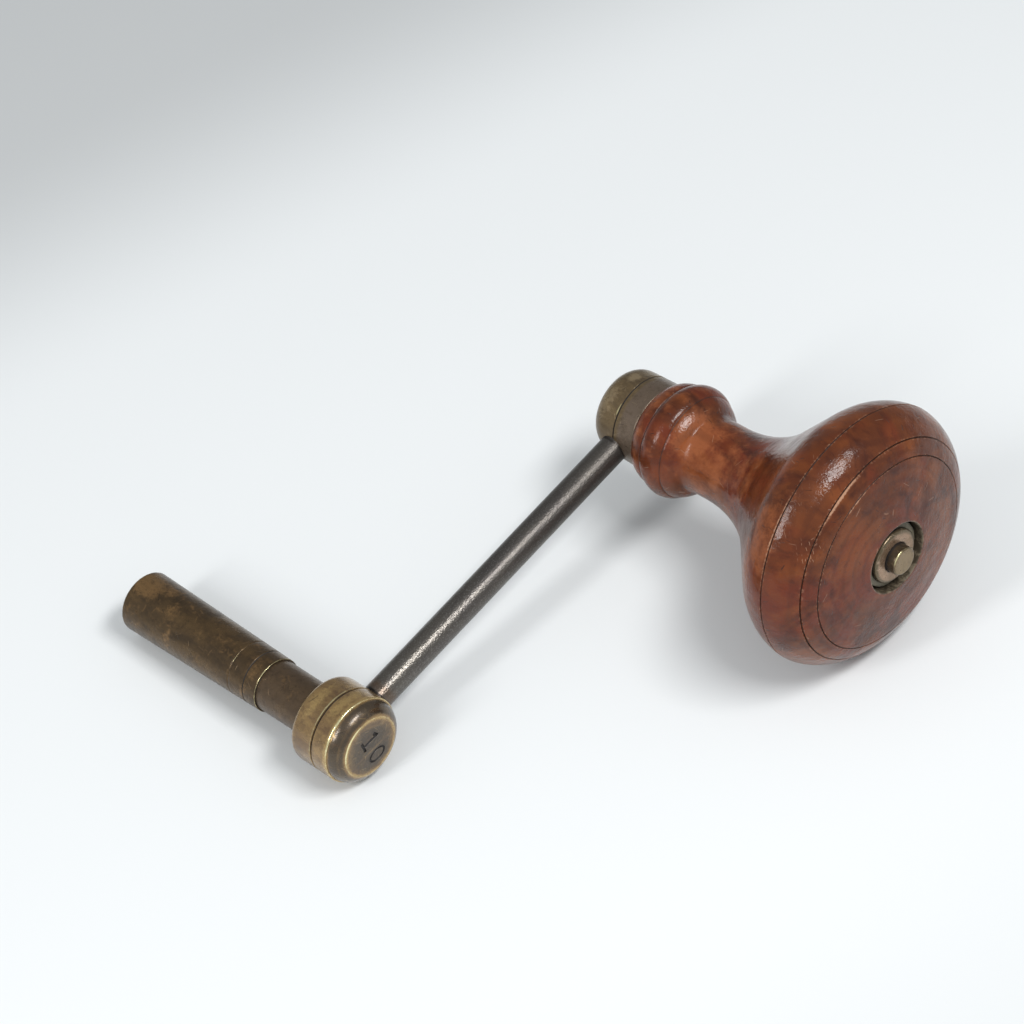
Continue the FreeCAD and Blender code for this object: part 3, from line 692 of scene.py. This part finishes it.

# %% [markdown]
# The rings hold dark wax. The lips of the last three rings are a little pale all round, and paler in
# one short arc each: a painted glint where the light catches the lip. The small bulb is rubbed to a lighter
# amber, and the crown has one scuffed place.

# %% Mark the knob's wear
inward = [Vector(way) for way in ((0, -1), (0, -1), (0, -1), (-0.79, -0.62), (-0.96, -0.28))]
wax = [0.85, 0.6, 0.9, 0.8, 0.75]
groove_spots = [(*(ring + way * cut_size[1] * 0.7), 0.13, strength)
                for ring, way, cut_size, strength in zip(rings, inward, RING_CUTS, wax)]
# The wear spots with an angle on the third, fourth and fifth rings are painted glints; those all round are worn
# lips.
mark(knob,
     wear_and_glint=[(fourth_ring.x + 0.12, fourth_ring.y - 0.15, 0.14, 1.1, 104, 17), (*fourth_ring, 0.3, 0.4),
           (fifth_ring.x + 0.05, fifth_ring.y - 0.2, 0.12, 0.95, 99, 13), (*fifth_ring, 0.25, 0.4),
           (third_ring.x - 0.2, third_ring.y, 0.14, 0.8, 130, 22), (*third_ring, 0.3, 0.4),
           (recess_rim.x, recess_rim.y + 0.1, 0.2, 0.45)],
     dirt=groove_spots + [(recess_floor, RECESS_R, 0.7, 1.0)],
     zone=row((recess_floor, RECESS_R), (0.3, 0), 8, 0.35, 1.0),
     scuff=[(fourth_ring.x - 0.3, fourth_ring.y, 2.2, 1.1, 132, 7),
            (third_ring.x + 1, third_ring.y, 3.5, 0.4, 120, 25)],
     warm=row((bulb_end.x - 1.2, WAIST_R + 0.5), (0.6, 0), 6, 2.2, 0.9, 105, 38)
     + [(bulb_end.x - 0.6, 7.0, 2.4, 0.3), (KNOB_BASE + 1.2, 7.6, 1.3, 0.5),
        (KNOB_BASE + 4.3, 8.4, 1.8, 0.35), (waist[0] + 2.0, WAIST_R, 3.0, 0.5),
        (third_ring.x - 5, 17.0, 4.0, 0.6, 160, 40)]
     + row((waist[0] + 5.0, WAIST_R + 0.6), (2, 1.1), 4, 2.6, 0.65, 125, 60)
     + row((third_ring.x - 3, third_ring.y - 0.5), (1, 0), 3, 2.0, 0.6, 135, 22))
lay_down(knob, "knob", "handle", True)
print("third ring", tuple(round(c, 2) for c in third_ring), "fifth", tuple(round(c, 2) for c in fifth_ring))

# %% [markdown]
# ## The pin, the loose washer and the collar
# The pin comes out of the boss, runs through the knob and ends in the recess. A dull washer lies loose at
# the bottom of the recess and a rubbed collar on the pin holds it. All three are small turned pieces.

# %% Turn what sits in the recess
PIN_STEP = 0.46
PIN_CHAMFER = 0.2
PIN_EDGE_WORN = 0.12
RING_LIP_WORN = 0.14
WASHER_GAP = 0.12
COLLAR_GAP = 0.02

pin_corners = [(PIN_END - PIN_CHAMFER, PIN_R), (PIN_END, PIN_R - PIN_CHAMFER)]
outline = [(PIN_ROOT, 0), (PIN_ROOT, PIN_R - PIN_STEP), (BOSS_FRONT, PIN_R - PIN_STEP),
           (BOSS_FRONT, PIN_R), *pin_corners, (PIN_END, 0)]
for corner in pin_corners:
    outline = soften(outline, corner, PIN_EDGE_WORN)
pin = turned("knob_pin", outline, steps=THIN_AROUND)
# The end's edge is worn all round; its brighter arc is a painted highlight as well as wear.
mark(pin,
     wear_and_glint=[(PIN_END - 0.08, PIN_R - 0.06, 0.09, 0.5), (PIN_END - 0.08, PIN_R - 0.06, 0.12, 1.2, 115, 35)],
     dirt=row((PIN_END - 0.6, PIN_R), (-0.3, 0), 5, 0.3, 0.5) + [(COLLAR_TOP, PIN_R, 0.35, 1.0)],
     zone=row((PIN_END, 0), (0, 0.4), 5, 0.45, 1.1))
lay_down(pin, "handle_pin", "crank", True)


def flat_ring(name, node, start, top, outer, inner, rounding, edge_wear):
    """A flat ring whose outer edge is rounded, worn at the top and dirty at the bottom."""
    outline = [(start, inner), (start, outer), (top, outer), (top, inner), (start, inner)]
    outline = soften(outline, (top, outer), rounding)
    outline = soften(outline, (top, inner), RING_LIP_WORN)
    ring = turned(name, outline, steps=THIN_AROUND, longest=0.15)
    mark(ring, wear_and_glint=[(top - rounding / 4, outer - rounding / 4, 0.14, edge_wear)],
         dirt=[(top, inner, 0.3, 0.7), (start, outer, 0.4, 1.0)],
         zone=[(top - rounding / 2, outer - rounding / 4, rounding, 1.0)])
    return lay_down(ring, node, "crank", True)


washer = flat_ring("dull_washer", "loose_washer", WASHER_AT, WASHER_TOP, WASHER_R,
                   PIN_R + WASHER_GAP, rounding=0.16, edge_wear=0.7)
collar = flat_ring("rubbed_collar", "pin_collar", COLLAR_AT, COLLAR_TOP, COLLAR_R,
                   PIN_R + COLLAR_GAP, rounding=0.55, edge_wear=0.3)

# %% [markdown]
# ## How the finishes are built
# A finish is a small web of nodes. A few helpers keep it readable. They work on the web that was opened last:
# most add one node and give back its output, one lays colours over each other, and one sums up patterns
# into bumps. Every pattern reads Object coordinates, which a Mapping node turns into the key's own directions
# and counts in millimetres, so that grain and turning marks follow the piece and keep their real size.

# %% Node helpers
def open_web(tree):
    """Makes this node tree the one that every helper adds to."""
    global web
    web = tree
    return tree


def connect(sockets, inputs):
    """Gives each named socket a plain value or another node's output."""
    for name, value in inputs.items():
        if isinstance(value, bpy.types.NodeSocket):
            web.links.new(value, sockets[name])
        else:
            sockets[name].default_value = value


def add(kind, inputs=None, **settings):
    made = web.nodes.new(f"ShaderNode{kind}")
    for name, value in settings.items():
        setattr(made, name, value)
    connect(made.inputs, inputs or {})
    return made


def maths(operation, a, b=0.0):
    return add("Math", {0: a, 1: b}, operation=operation).outputs[0]


def times(a, b):
    return maths("MULTIPLY", a, b)


def plus(a, b):
    return maths("ADD", a, b)


def vector_maths(operation, a, b=(0, 0, 0)):
    made = add("VectorMath", {0: a, 1: b}, operation=operation)
    return made.outputs["Value" if operation in ("DOT_PRODUCT", "LENGTH") else "Vector"]


def between(value, low, high, at_low=0.0, at_high=1.0):
    """A soft step: at_low below low, at_high above high."""
    inputs = {"Value": value, "From Min": low, "From Max": high, "To Min": at_low, "To Max": at_high}
    return add("MapRange", inputs, interpolation_type="SMOOTHSTEP").outputs[0]


def mix(factor, a, b, share=1.0):
    """Colour a turned into colour b by a mask, at most by a share. A colour is an output or three numbers."""
    a, b = [(*colour, 1) if isinstance(colour, tuple) else colour for colour in (a, b)]
    if share != 1.0:
        factor = times(factor, share)
    return add("Mix", {0: factor, 6: a, 7: b}, data_type="RGBA").outputs[2]


def layered(skin, layers):
    """Lays colours over a skin one by one. A layer is its mask, its colour and its largest share."""
    for mask, colour, share in layers:
        skin = mix(mask, skin, colour, share)
    return skin


def relief(patterns):
    """Bumps from several patterns, each with its height in millimetres. Below zero it is a dent."""
    height = 0.0
    for pattern, tall in patterns:
        height = plus(height, times(pattern, tall))
    return add("Bump", {"Height": height, "Distance": MM}).outputs[0]


def noise(vector, scale, detail=4.0, roughness=0.55, distortion=0.0):
    inputs = {"Vector": vector, "Scale": scale, "Detail": detail, "Roughness": roughness,
              "Distortion": distortion}
    return add("TexNoise", inputs).outputs[0]


def stretched(vector, x, y, z):
    """The same place with its three directions scaled, which draws a pattern out or squeezes it."""
    return add("Mapping", {"Vector": vector, "Scale": (x, y, z)}).outputs[0]


def shifted(vector, x, y, z):
    """The same place moved aside, which gives another pattern of the same kind."""
    return add("Mapping", {"Vector": vector, "Location": (x, y, z)}).outputs[0]


def piece_space(on_knob_axis):
    """Object coordinates in the piece's own directions, in millimetres, X along its axis."""
    place = (KEY @ Matrix.Translation((0, THROW * MM if on_knob_axis else 0, 0))).inverted()
    inputs = {"Vector": add("TexCoord").outputs["Object"], "Location": place.translation,
              "Rotation": place.to_euler()}
    turned_back = add("Mapping", inputs).outputs[0]
    return add("VectorMath", {0: turned_back, "Scale": 1 / MM}, operation="SCALE").outputs[0]


# %% [markdown]
# ## Effects that several finishes share
# Old metal and old wood have four things in common: a cloudy change of tone, edges rubbed bright but never
# evenly, short scratches, and the fine rings that a lathe tool leaves. Each is written as a function and made
# into a node group once, with the function's parameters as inputs. A scratch is where a thin plane through a
# random centre meets the surface, so it lies on any shape without a map.

# %% Shared effects
VECTORS = ("vector", "lean")
# Weights that make one more random number out of a cell's random colour.
LOTTERY = (37.0, 91.0, 53.0)


def shared(*labels):
    """Makes a node group of the function below it. Its name then adds a node that uses the group."""
    def build(pattern):
        group = open_web(bpy.data.node_groups.new(pattern.__name__, "ShaderNodeTree"))
        for label in labels:
            kind = "Vector" if label in VECTORS else "Float"
            group.interface.new_socket(label, in_out="INPUT", socket_type=f"NodeSocket{kind}")
        group.interface.new_socket("result", in_out="OUTPUT", socket_type="NodeSocketFloat")
        source = group.nodes.new("NodeGroupInput").outputs
        made = pattern(*[source[label] for label in labels])
        connect(group.nodes.new("NodeGroupOutput").inputs, {"result": made})
        return lambda *values: add("Group", dict(enumerate(values)), node_tree=group).outputs[0]
    return build


@shared("vector", "scale", "level", "softness")
def clouds(vector, scale, level, softness):
    broad = noise(vector, scale, detail=6, roughness=0.6, distortion=0.6)
    fine = noise(vector, times(scale, 4.3), detail=5, roughness=0.65)
    both = plus(times(broad, 0.68), times(fine, 0.32))
    return between(both, maths("SUBTRACT", level, softness), plus(level, softness))


@shared("amount", "vector", "scale", "breakup")
def uneven(amount, vector, scale, breakup):
    pattern = noise(vector, scale, detail=5, roughness=0.7)
    return between(plus(amount, times(maths("SUBTRACT", pattern, 0.5), breakup)), 0.25, 0.75)


@shared("vector", "scale", "length", "width", "share", "lean")
def scratches(vector, scale, length, width, share, lean):
    cells = add("TexVoronoi", {"Vector": vector, "Scale": scale}).outputs
    offset = vector_maths("SUBTRACT", vector, cells["Position"])
    random_way = add("VectorMath", {0: cells["Color"], 1: (2, 2, 2), 2: (-1, -1, -1)},
                     operation="MULTIPLY_ADD").outputs[0]
    normal = vector_maths("NORMALIZE", vector_maths("MULTIPLY", random_way, lean))
    off_plane = maths("ABSOLUTE", vector_maths("DOT_PRODUCT", offset, normal))
    line = between(off_plane, 0.0, width, 1.0, 0.0)
    inside = between(vector_maths("LENGTH", offset), times(length, 0.7), length, 1.0, 0.0)
    lot = maths("FRACT", vector_maths("DOT_PRODUCT", cells["Color"], LOTTERY))
    return times(times(line, inside), maths("LESS_THAN", lot, share))


@shared("vector", "scale")
def tool_marks(vector, scale):
    along = stretched(vector, 1, 0.03, 0.03)
    coarse = noise(along, scale, detail=3, roughness=0.6)
    return plus(coarse, times(noise(along, times(scale, 4.0), detail=2), 0.4))


def rubbed(attribute, *rest):
    """A mask of the marks stored under a name, with an uneven edge."""
    return uneven(add("Attribute", attribute_name=attribute).outputs["Fac"], *rest)


def new_finish(name):
    """A new material, whose web is opened. Gives the material and its Principled BSDF's inputs."""
    material = bpy.data.materials.new(name)
    material.use_nodes = True
    return material, open_web(material.node_tree).nodes["Principled BSDF"].inputs


def dress(piece, material):
    """Gives a piece its finish."""
    piece.data.materials.clear()
    piece.data.materials.append(material)


# %% [markdown]
# ## Old brass
# Brass that has been handled for a century is no mirror. A brown skin covers it, darker in some places and
# more golden in others, and only the edges that rub are bright. So the metal is half hidden: the skin's
# metallic share is low, the rubbed edges are bare metal, and the grooves hold nearly black dirt. On the
# hub's rims and the pin's end some of that bare metal is a painted highlight, in the arcs where light glints.

# %% Old brass
BARE_BRASS = (0.80, 0.71, 0.40)
METAL_DIRT = (0.014, 0.010, 0.008)
COAT_ROUGHNESS = 0.2


def scaled(colour, factor):
    return tuple(min(1.0, c * factor) for c in colour)


def stamped_dirt(space, face_at, face_radius):
    """A mask of all that lies deeper than a flat face inside a radius."""
    length = add("SeparateXYZ", {"Vector": space}).outputs["X"]
    sunk = between(length, face_at - 0.02, face_at - 0.002, 1.0, 0.0)
    off_axis = vector_maths("LENGTH", stretched(space, 0, 1, 1))
    return times(sunk, maths("LESS_THAN", off_axis, face_radius))


def old_brass(name, dark, light, zone, golden, bare=BARE_BRASS, on_knob_axis=False, metallic=0.6,
              roughness=0.3, patches=0.4, scratch_share=0.5, zone_share=0.85, stamped_face=None,
              lacquer=0.0):
    """Brown skin from dark to light, golden where rubbed, bare metal where worn and on painted highlights,
    another skin in the zone.

    A stamped face is given as its length and a radius: what lies deeper inside that radius holds dirt. The
    lacquer is a thin clear coat over whatever is clean.
    """
    material, shader = new_finish(name)
    space = piece_space(on_knob_axis)
    tone = clouds(stretched(space, 0.6, 1, 1), 0.3, 0.5, 0.17)
    nicks = scratches(space, 0.75, 0.7, 0.06, scratch_share, (1, 1, 1))
    cuts = scratches(shifted(space, 3.7, 1.9, 5.3), 0.42, 0.9, 0.06, 0.3, (1, 1, 1))
    # Bare metal where worn, and in the hub's and the pin's bright arcs a painted highlight.
    worn_and_glinting = rubbed("wear_and_glint", space, 1.4, 0.7)
    dirty = rubbed("dirt", space, 1.6, 0.6)
    if stamped_face:
        dirty = maths("MAXIMUM", dirty, stamped_dirt(space, *stamped_face))
    skin = layered(mix(tone, dark, light), [
        (rubbed("zone", space, 0.5, 0.5), zone, zone_share),
        (clouds(space, 0.51, 0.61, 0.07), golden, patches),
        (rubbed("warm", space, 0.9, 1.7), golden, 0.75),
        (clouds(space, 0.9, 0.58, 0.10), scaled(dark, 0.7), 0.55),
        (clouds(space, 2.1, 0.62, 0.05), scaled(dark, 0.45), 0.6),
        (nicks, golden, 0.35),
        (cuts, METAL_DIRT, 0.6),
        (worn_and_glinting, bare, 1.0),
        (dirty, METAL_DIRT, 1.0),
    ])
    clean = maths("SUBTRACT", 1.0, dirty)
    shine = between(worn_and_glinting, 0.0, 1.0, metallic, 0.95)
    satin = between(tone, 0.0, 1.0, roughness + 0.05, roughness - 0.04)
    satin = plus(satin, times(worn_and_glinting, -0.08))
    satin = plus(satin, times(dirty, 0.35))
    bumps = relief([
        (tool_marks(space, 2.0), 0.008), (noise(space, 2.2, detail=3, roughness=0.6), 0.025),
        (noise(space, 0.5, detail=2), 0.08), (nicks, -0.015), (cuts, -0.015),
    ])
    connect(shader, {
        "Base Color": skin, "Metallic": times(shine, clean), "Roughness": satin, "Normal": bumps,
        "Coat Weight": times(clean, lacquer), "Coat Roughness": COAT_ROUGHNESS,
    })
    return material


dress(barrel, old_brass("barrel_patina", (0.056, 0.036, 0.019), (0.120, 0.074, 0.033), (0.115, 0.078, 0.050),
                        (0.26, 0.150, 0.062), zone_share=0.6, patches=0.5))
dress(hub, old_brass("hub_patina", (0.145, 0.084, 0.040), (0.34, 0.215, 0.085), (0.060, 0.044, 0.029),
                     (0.46, 0.31, 0.12), roughness=0.27, patches=0.25, scratch_share=0.25, zone_share=0.93,
                     stamped_face=(HUB_FACE, STAMPED_R), lacquer=0.5))
dress(boss, old_brass("boss_patina", (0.115, 0.080, 0.044), (0.21, 0.145, 0.072), (0.165, 0.122, 0.092),
                      (0.36, 0.27, 0.16), on_knob_axis=True, patches=0.25))
dress(pin, old_brass("pin_end_brass", (0.065, 0.042, 0.024), (0.11, 0.075, 0.04), (0.25, 0.18, 0.10),
                     (0.36, 0.27, 0.16), on_knob_axis=True, patches=0.0))
dress(washer, old_brass("washer_patina", (0.105, 0.092, 0.062), (0.18, 0.155, 0.105), (0.06, 0.055, 0.038),
                        (0.22, 0.19, 0.13), bare=(0.36, 0.35, 0.28), on_knob_axis=True, metallic=0.3,
                        roughness=0.5))
dress(collar, old_brass("collar_copper", (0.16, 0.105, 0.055), (0.36, 0.235, 0.155), (0.1, 0.08, 0.045),
                        (0.48, 0.34, 0.25), bare=(0.55, 0.43, 0.32), on_knob_axis=True, patches=0.6))

# %% [markdown]
# ## Drawn steel
# The rod is dark aged steel. Drawing left fine lines along it and the skin is slightly pitted, so its long
# highlight sparkles and never runs as a clean stripe.

# %% Drawn steel
STEEL_DARK, STEEL_LIGHT = (0.092, 0.083, 0.079), (0.130, 0.118, 0.102)
STEEL_SPECK, STEEL_DULL = (0.30, 0.29, 0.27), (0.07, 0.062, 0.056)
OIL_BROWN = (0.15, 0.092, 0.055)


def drawn_steel(name):
    """Dark steel with bright specks, browned near the hub, and darker and rougher towards the boss."""
    material, shader = new_finish(name)
    space = piece_space(False)
    tone = clouds(stretched(space, 1, 0.25, 1), 0.35, 0.5, 0.17)
    along_arm = add("SeparateXYZ", {"Vector": space}).outputs["Y"]
    # The colour darkens and the roughness rises from the hub to the boss, so the highlight fades along the rod.
    duller = between(along_arm, HUB_R, THROW)
    skin = layered(mix(tone, STEEL_DARK, STEEL_LIGHT), [
        (between(noise(space, 5.0, detail=1), 0.5, 0.72), STEEL_SPECK, 0.35),
        (rubbed("zone", space, 0.5, 0.8), OIL_BROWN, 0.6),
        (rubbed("dirt", space, 1.6, 0.8), METAL_DIRT, 1.0),
        (duller, STEEL_DULL, 0.5),
    ])
    lines = noise(stretched(space, 1, 0.1, 1), 3.0, detail=1)
    bumps = relief([(lines, 0.015), (noise(space, 4.2, detail=1), 0.05)])
    satin = between(duller, 0.0, 1.0, 0.28, 0.39)
    connect(shader, {"Base Color": skin, "Metallic": 0.8, "Roughness": satin, "Normal": bumps})
    return material


dress(arm, drawn_steel("arm_drawn_steel"))

# %% [markdown]
# ## Turned wood
# The knob is a hard red-brown wood, polished by hands. Broad soft clouds of brown, red and amber run into
# each other, fine dark pores and pale scuffs lie in it, and the rings hold dark wax. Short pale arcs on the
# ring lips are painted glints. The surface is glossy but no longer quite even, so its highlights break up
# into small glints.

# %% Turned wood
WOOD_DEEP = (0.038, 0.009, 0.005)
WOOD_BROWN = (0.092, 0.024, 0.008)
WOOD_RED = (0.122, 0.022, 0.008)
WOOD_AMBER = (0.215, 0.060, 0.014)
WOOD_GOLD = (0.310, 0.096, 0.034)
WOOD_PALE = (0.520, 0.300, 0.190)
WOOD_WAX = (0.024, 0.010, 0.007)
GRIME_DARK, GRIME_LIGHT = (0.055, 0.042, 0.026), (0.17, 0.135, 0.09)
RAKE_SLANT = math.radians(-39)


def turned_wood(name):
    """Soft clouds of brown and amber, grain, pores, pale scuffs, painted glints, grime in the recess."""
    material, shader = new_finish(name)
    space = piece_space(True)
    along = stretched(space, 0.6, 1, 1)
    broad = noise(along, 0.10, detail=2, distortion=0.8)
    shade = noise(shifted(along, 9, 4, 7), 0.17, detail=3, distortion=1.2)
    glow = noise(shifted(along, 3, 8, 2), 0.15, detail=2, distortion=0.6)
    figure = noise(along, 0.42, detail=3, roughness=0.5, distortion=0.7)
    waves = {"Vector": shifted(space, 0, 2.2, -1.6), "Scale": 0.17, "Distortion": 5.0, "Detail": 3.0,
             "Detail Scale": 0.35}
    year_rings = add("TexWave", waves, wave_type="RINGS", rings_direction="X").outputs["Fac"]
    grain = noise(stretched(space, 0.4, 1, 1), 1.1, detail=4, roughness=0.6, distortion=0.6)
    pores = scratches(space, 0.62, 0.5, 0.07, 0.3, (0.4, 1, 1))
    scuffs = scratches(space, 0.5, 0.8, 0.06, 0.2, (1, 0.6, 0.6))
    slant = {"Vector": space, "Location": (5, 2, 8), "Rotation": (0, 0, RAKE_SLANT)}
    rakes = scratches(add("Mapping", slant).outputs[0], 1.6, 0.32, 0.05, 0.75, (1, 0.12, 0.12))
    grimy = rubbed("zone", space, 1.0, 0.7)
    grime = mix(clouds(space, 0.8, 0.52, 0.06), GRIME_DARK, GRIME_LIGHT)
    dirty = rubbed("dirt", space, 1.2, 0.5)
    skin = layered(mix(between(broad, 0.40, 0.60), WOOD_BROWN, WOOD_RED), [
        (between(shade, 0.48, 0.68), WOOD_DEEP, 0.75),
        (between(glow, 0.44, 0.72), WOOD_AMBER, 0.55),
        (between(figure, 0.46, 0.74), WOOD_AMBER, 0.28),
        (rubbed("warm", space, 0.35, 1.4), WOOD_GOLD, 0.7),
        (between(year_rings, 0.6, 1.0), WOOD_DEEP, 0.22),
        (between(grain, 0.52, 0.72), WOOD_DEEP, 0.35),
        (pores, WOOD_WAX, 0.75),
        (scuffs, WOOD_PALE, 0.3),
        (times(rakes, rubbed("scuff", space, 0.6, 0.8)), WOOD_PALE, 0.6),
        # Pale on worn ring lips, and in short arcs a painted glint.
        (rubbed("wear_and_glint", space, 2.2, 1.4), WOOD_PALE, 0.75),
        (grimy, grime, 1.0),
        (dirty, WOOD_WAX, 1.0),
    ])
    rough = between(noise(space, 0.35, detail=3), 0.35, 0.65, 0.13, 0.21)
    rough = plus(rough, times(maths("MAXIMUM", dirty, grimy), 0.35))
    bumps = relief([
        (noise(space, 3.0, detail=2, roughness=0.6), 0.032), (noise(space, 0.9, detail=2), 0.07),
        (noise(space, 0.22, detail=1), 0.22), (tool_marks(space, 0.9), 0.012),
        (pores, -0.02), (scuffs, -0.02),
    ])
    connect(shader, {"Base Color": skin, "Roughness": rough, "Normal": bumps, "IOR": 1.45,
                     "Specular IOR Level": 0.33})
    return material


dress(knob, turned_wood("knob_turned_wood"))

# %% [markdown]
# ## Floor and light
# A pale table, and the soft light of a studio: a softbox high on the right, a weaker one on the left, and a
# pale room that fills the shadows. Both softboxes are long and narrow and run along the knob's rings, because
# the photograph's highlights do. The room is darker behind the key, which keeps the upper edges of the wood
# and the brass from turning milky. The table's colour is painted darker towards its far corner, and a little
# darker on the side opposite to it: painted shade, where the light falls off.

# %% Stage
TABLE = (0.82, 0.84, 0.845)
TABLE_SIZE = 3.0
FAR_CORNER = (-0.97, 0.24, 0.0)
FAR_SHADE = (0.075, 0.135)
NEAR_SHADE = (-0.125, -0.06)
LAMP_AWAY = 0.55

bpy.ops.mesh.primitive_plane_add(size=TABLE_SIZE, location=(0, 0, 0))
floor = bpy.context.object
floor.name = "table"
table_paint, surface = new_finish("table_paint")
off_centre = vector_maths("SUBTRACT", add("TexCoord").outputs["Object"], tuple(AIM))
to_corner = vector_maths("DOT_PRODUCT", off_centre, FAR_CORNER)
# Painted shade: the table's colour is darker towards the far corner and a little darker on the opposite side.
shade = layered(TABLE, [
    (between(to_corner, *FAR_SHADE), scaled(TABLE, 0.7), 1.0),
    (between(to_corner, *NEAR_SHADE, 1.0, 0.0), scaled(TABLE, 0.9), 1.0),
])
connect(surface, {"Base Color": shade, "Roughness": 0.6})
floor.data.materials.append(table_paint)


def softbox(name, toward, width, height, watts):
    """A rectangular light that stands off in one direction and faces the key."""
    toward = Vector(toward).normalized()
    bpy.ops.object.light_add(type="AREA", location=AIM + toward * LAMP_AWAY)
    lamp = bpy.context.object
    lamp.name = lamp.data.name = name
    lamp.rotation_euler = toward.to_track_quat("Z", "Y").to_euler()
    lamp.data.shape = "RECTANGLE"
    lamp.data.size, lamp.data.size_y = width, height
    lamp.data.energy = watts


softbox("softbox_right", (0.52, 0.08, 0.85), width=0.25, height=0.095, watts=1.75)
softbox("softbox_left", (-0.05, -0.78, 0.61), width=0.08, height=0.24, watts=0.95)

SKY_WHITE = (0.94, 0.975, 1.0, 1)
DARK_SIDE = (-0.77, 0.63, 0.0)
room = bpy.data.worlds.new("room")
bpy.context.scene.world = room
room.use_nodes = True
sky = open_web(room.node_tree).nodes["Background"].inputs
behind = vector_maths("DOT_PRODUCT", add("TexCoord").outputs["Generated"], DARK_SIDE)
connect(sky, {"Color": SKY_WHITE, "Strength": between(behind, -0.4, 0.8, 0.64, 0.3)})
bpy.context.scene.view_settings.view_transform = "Standard"
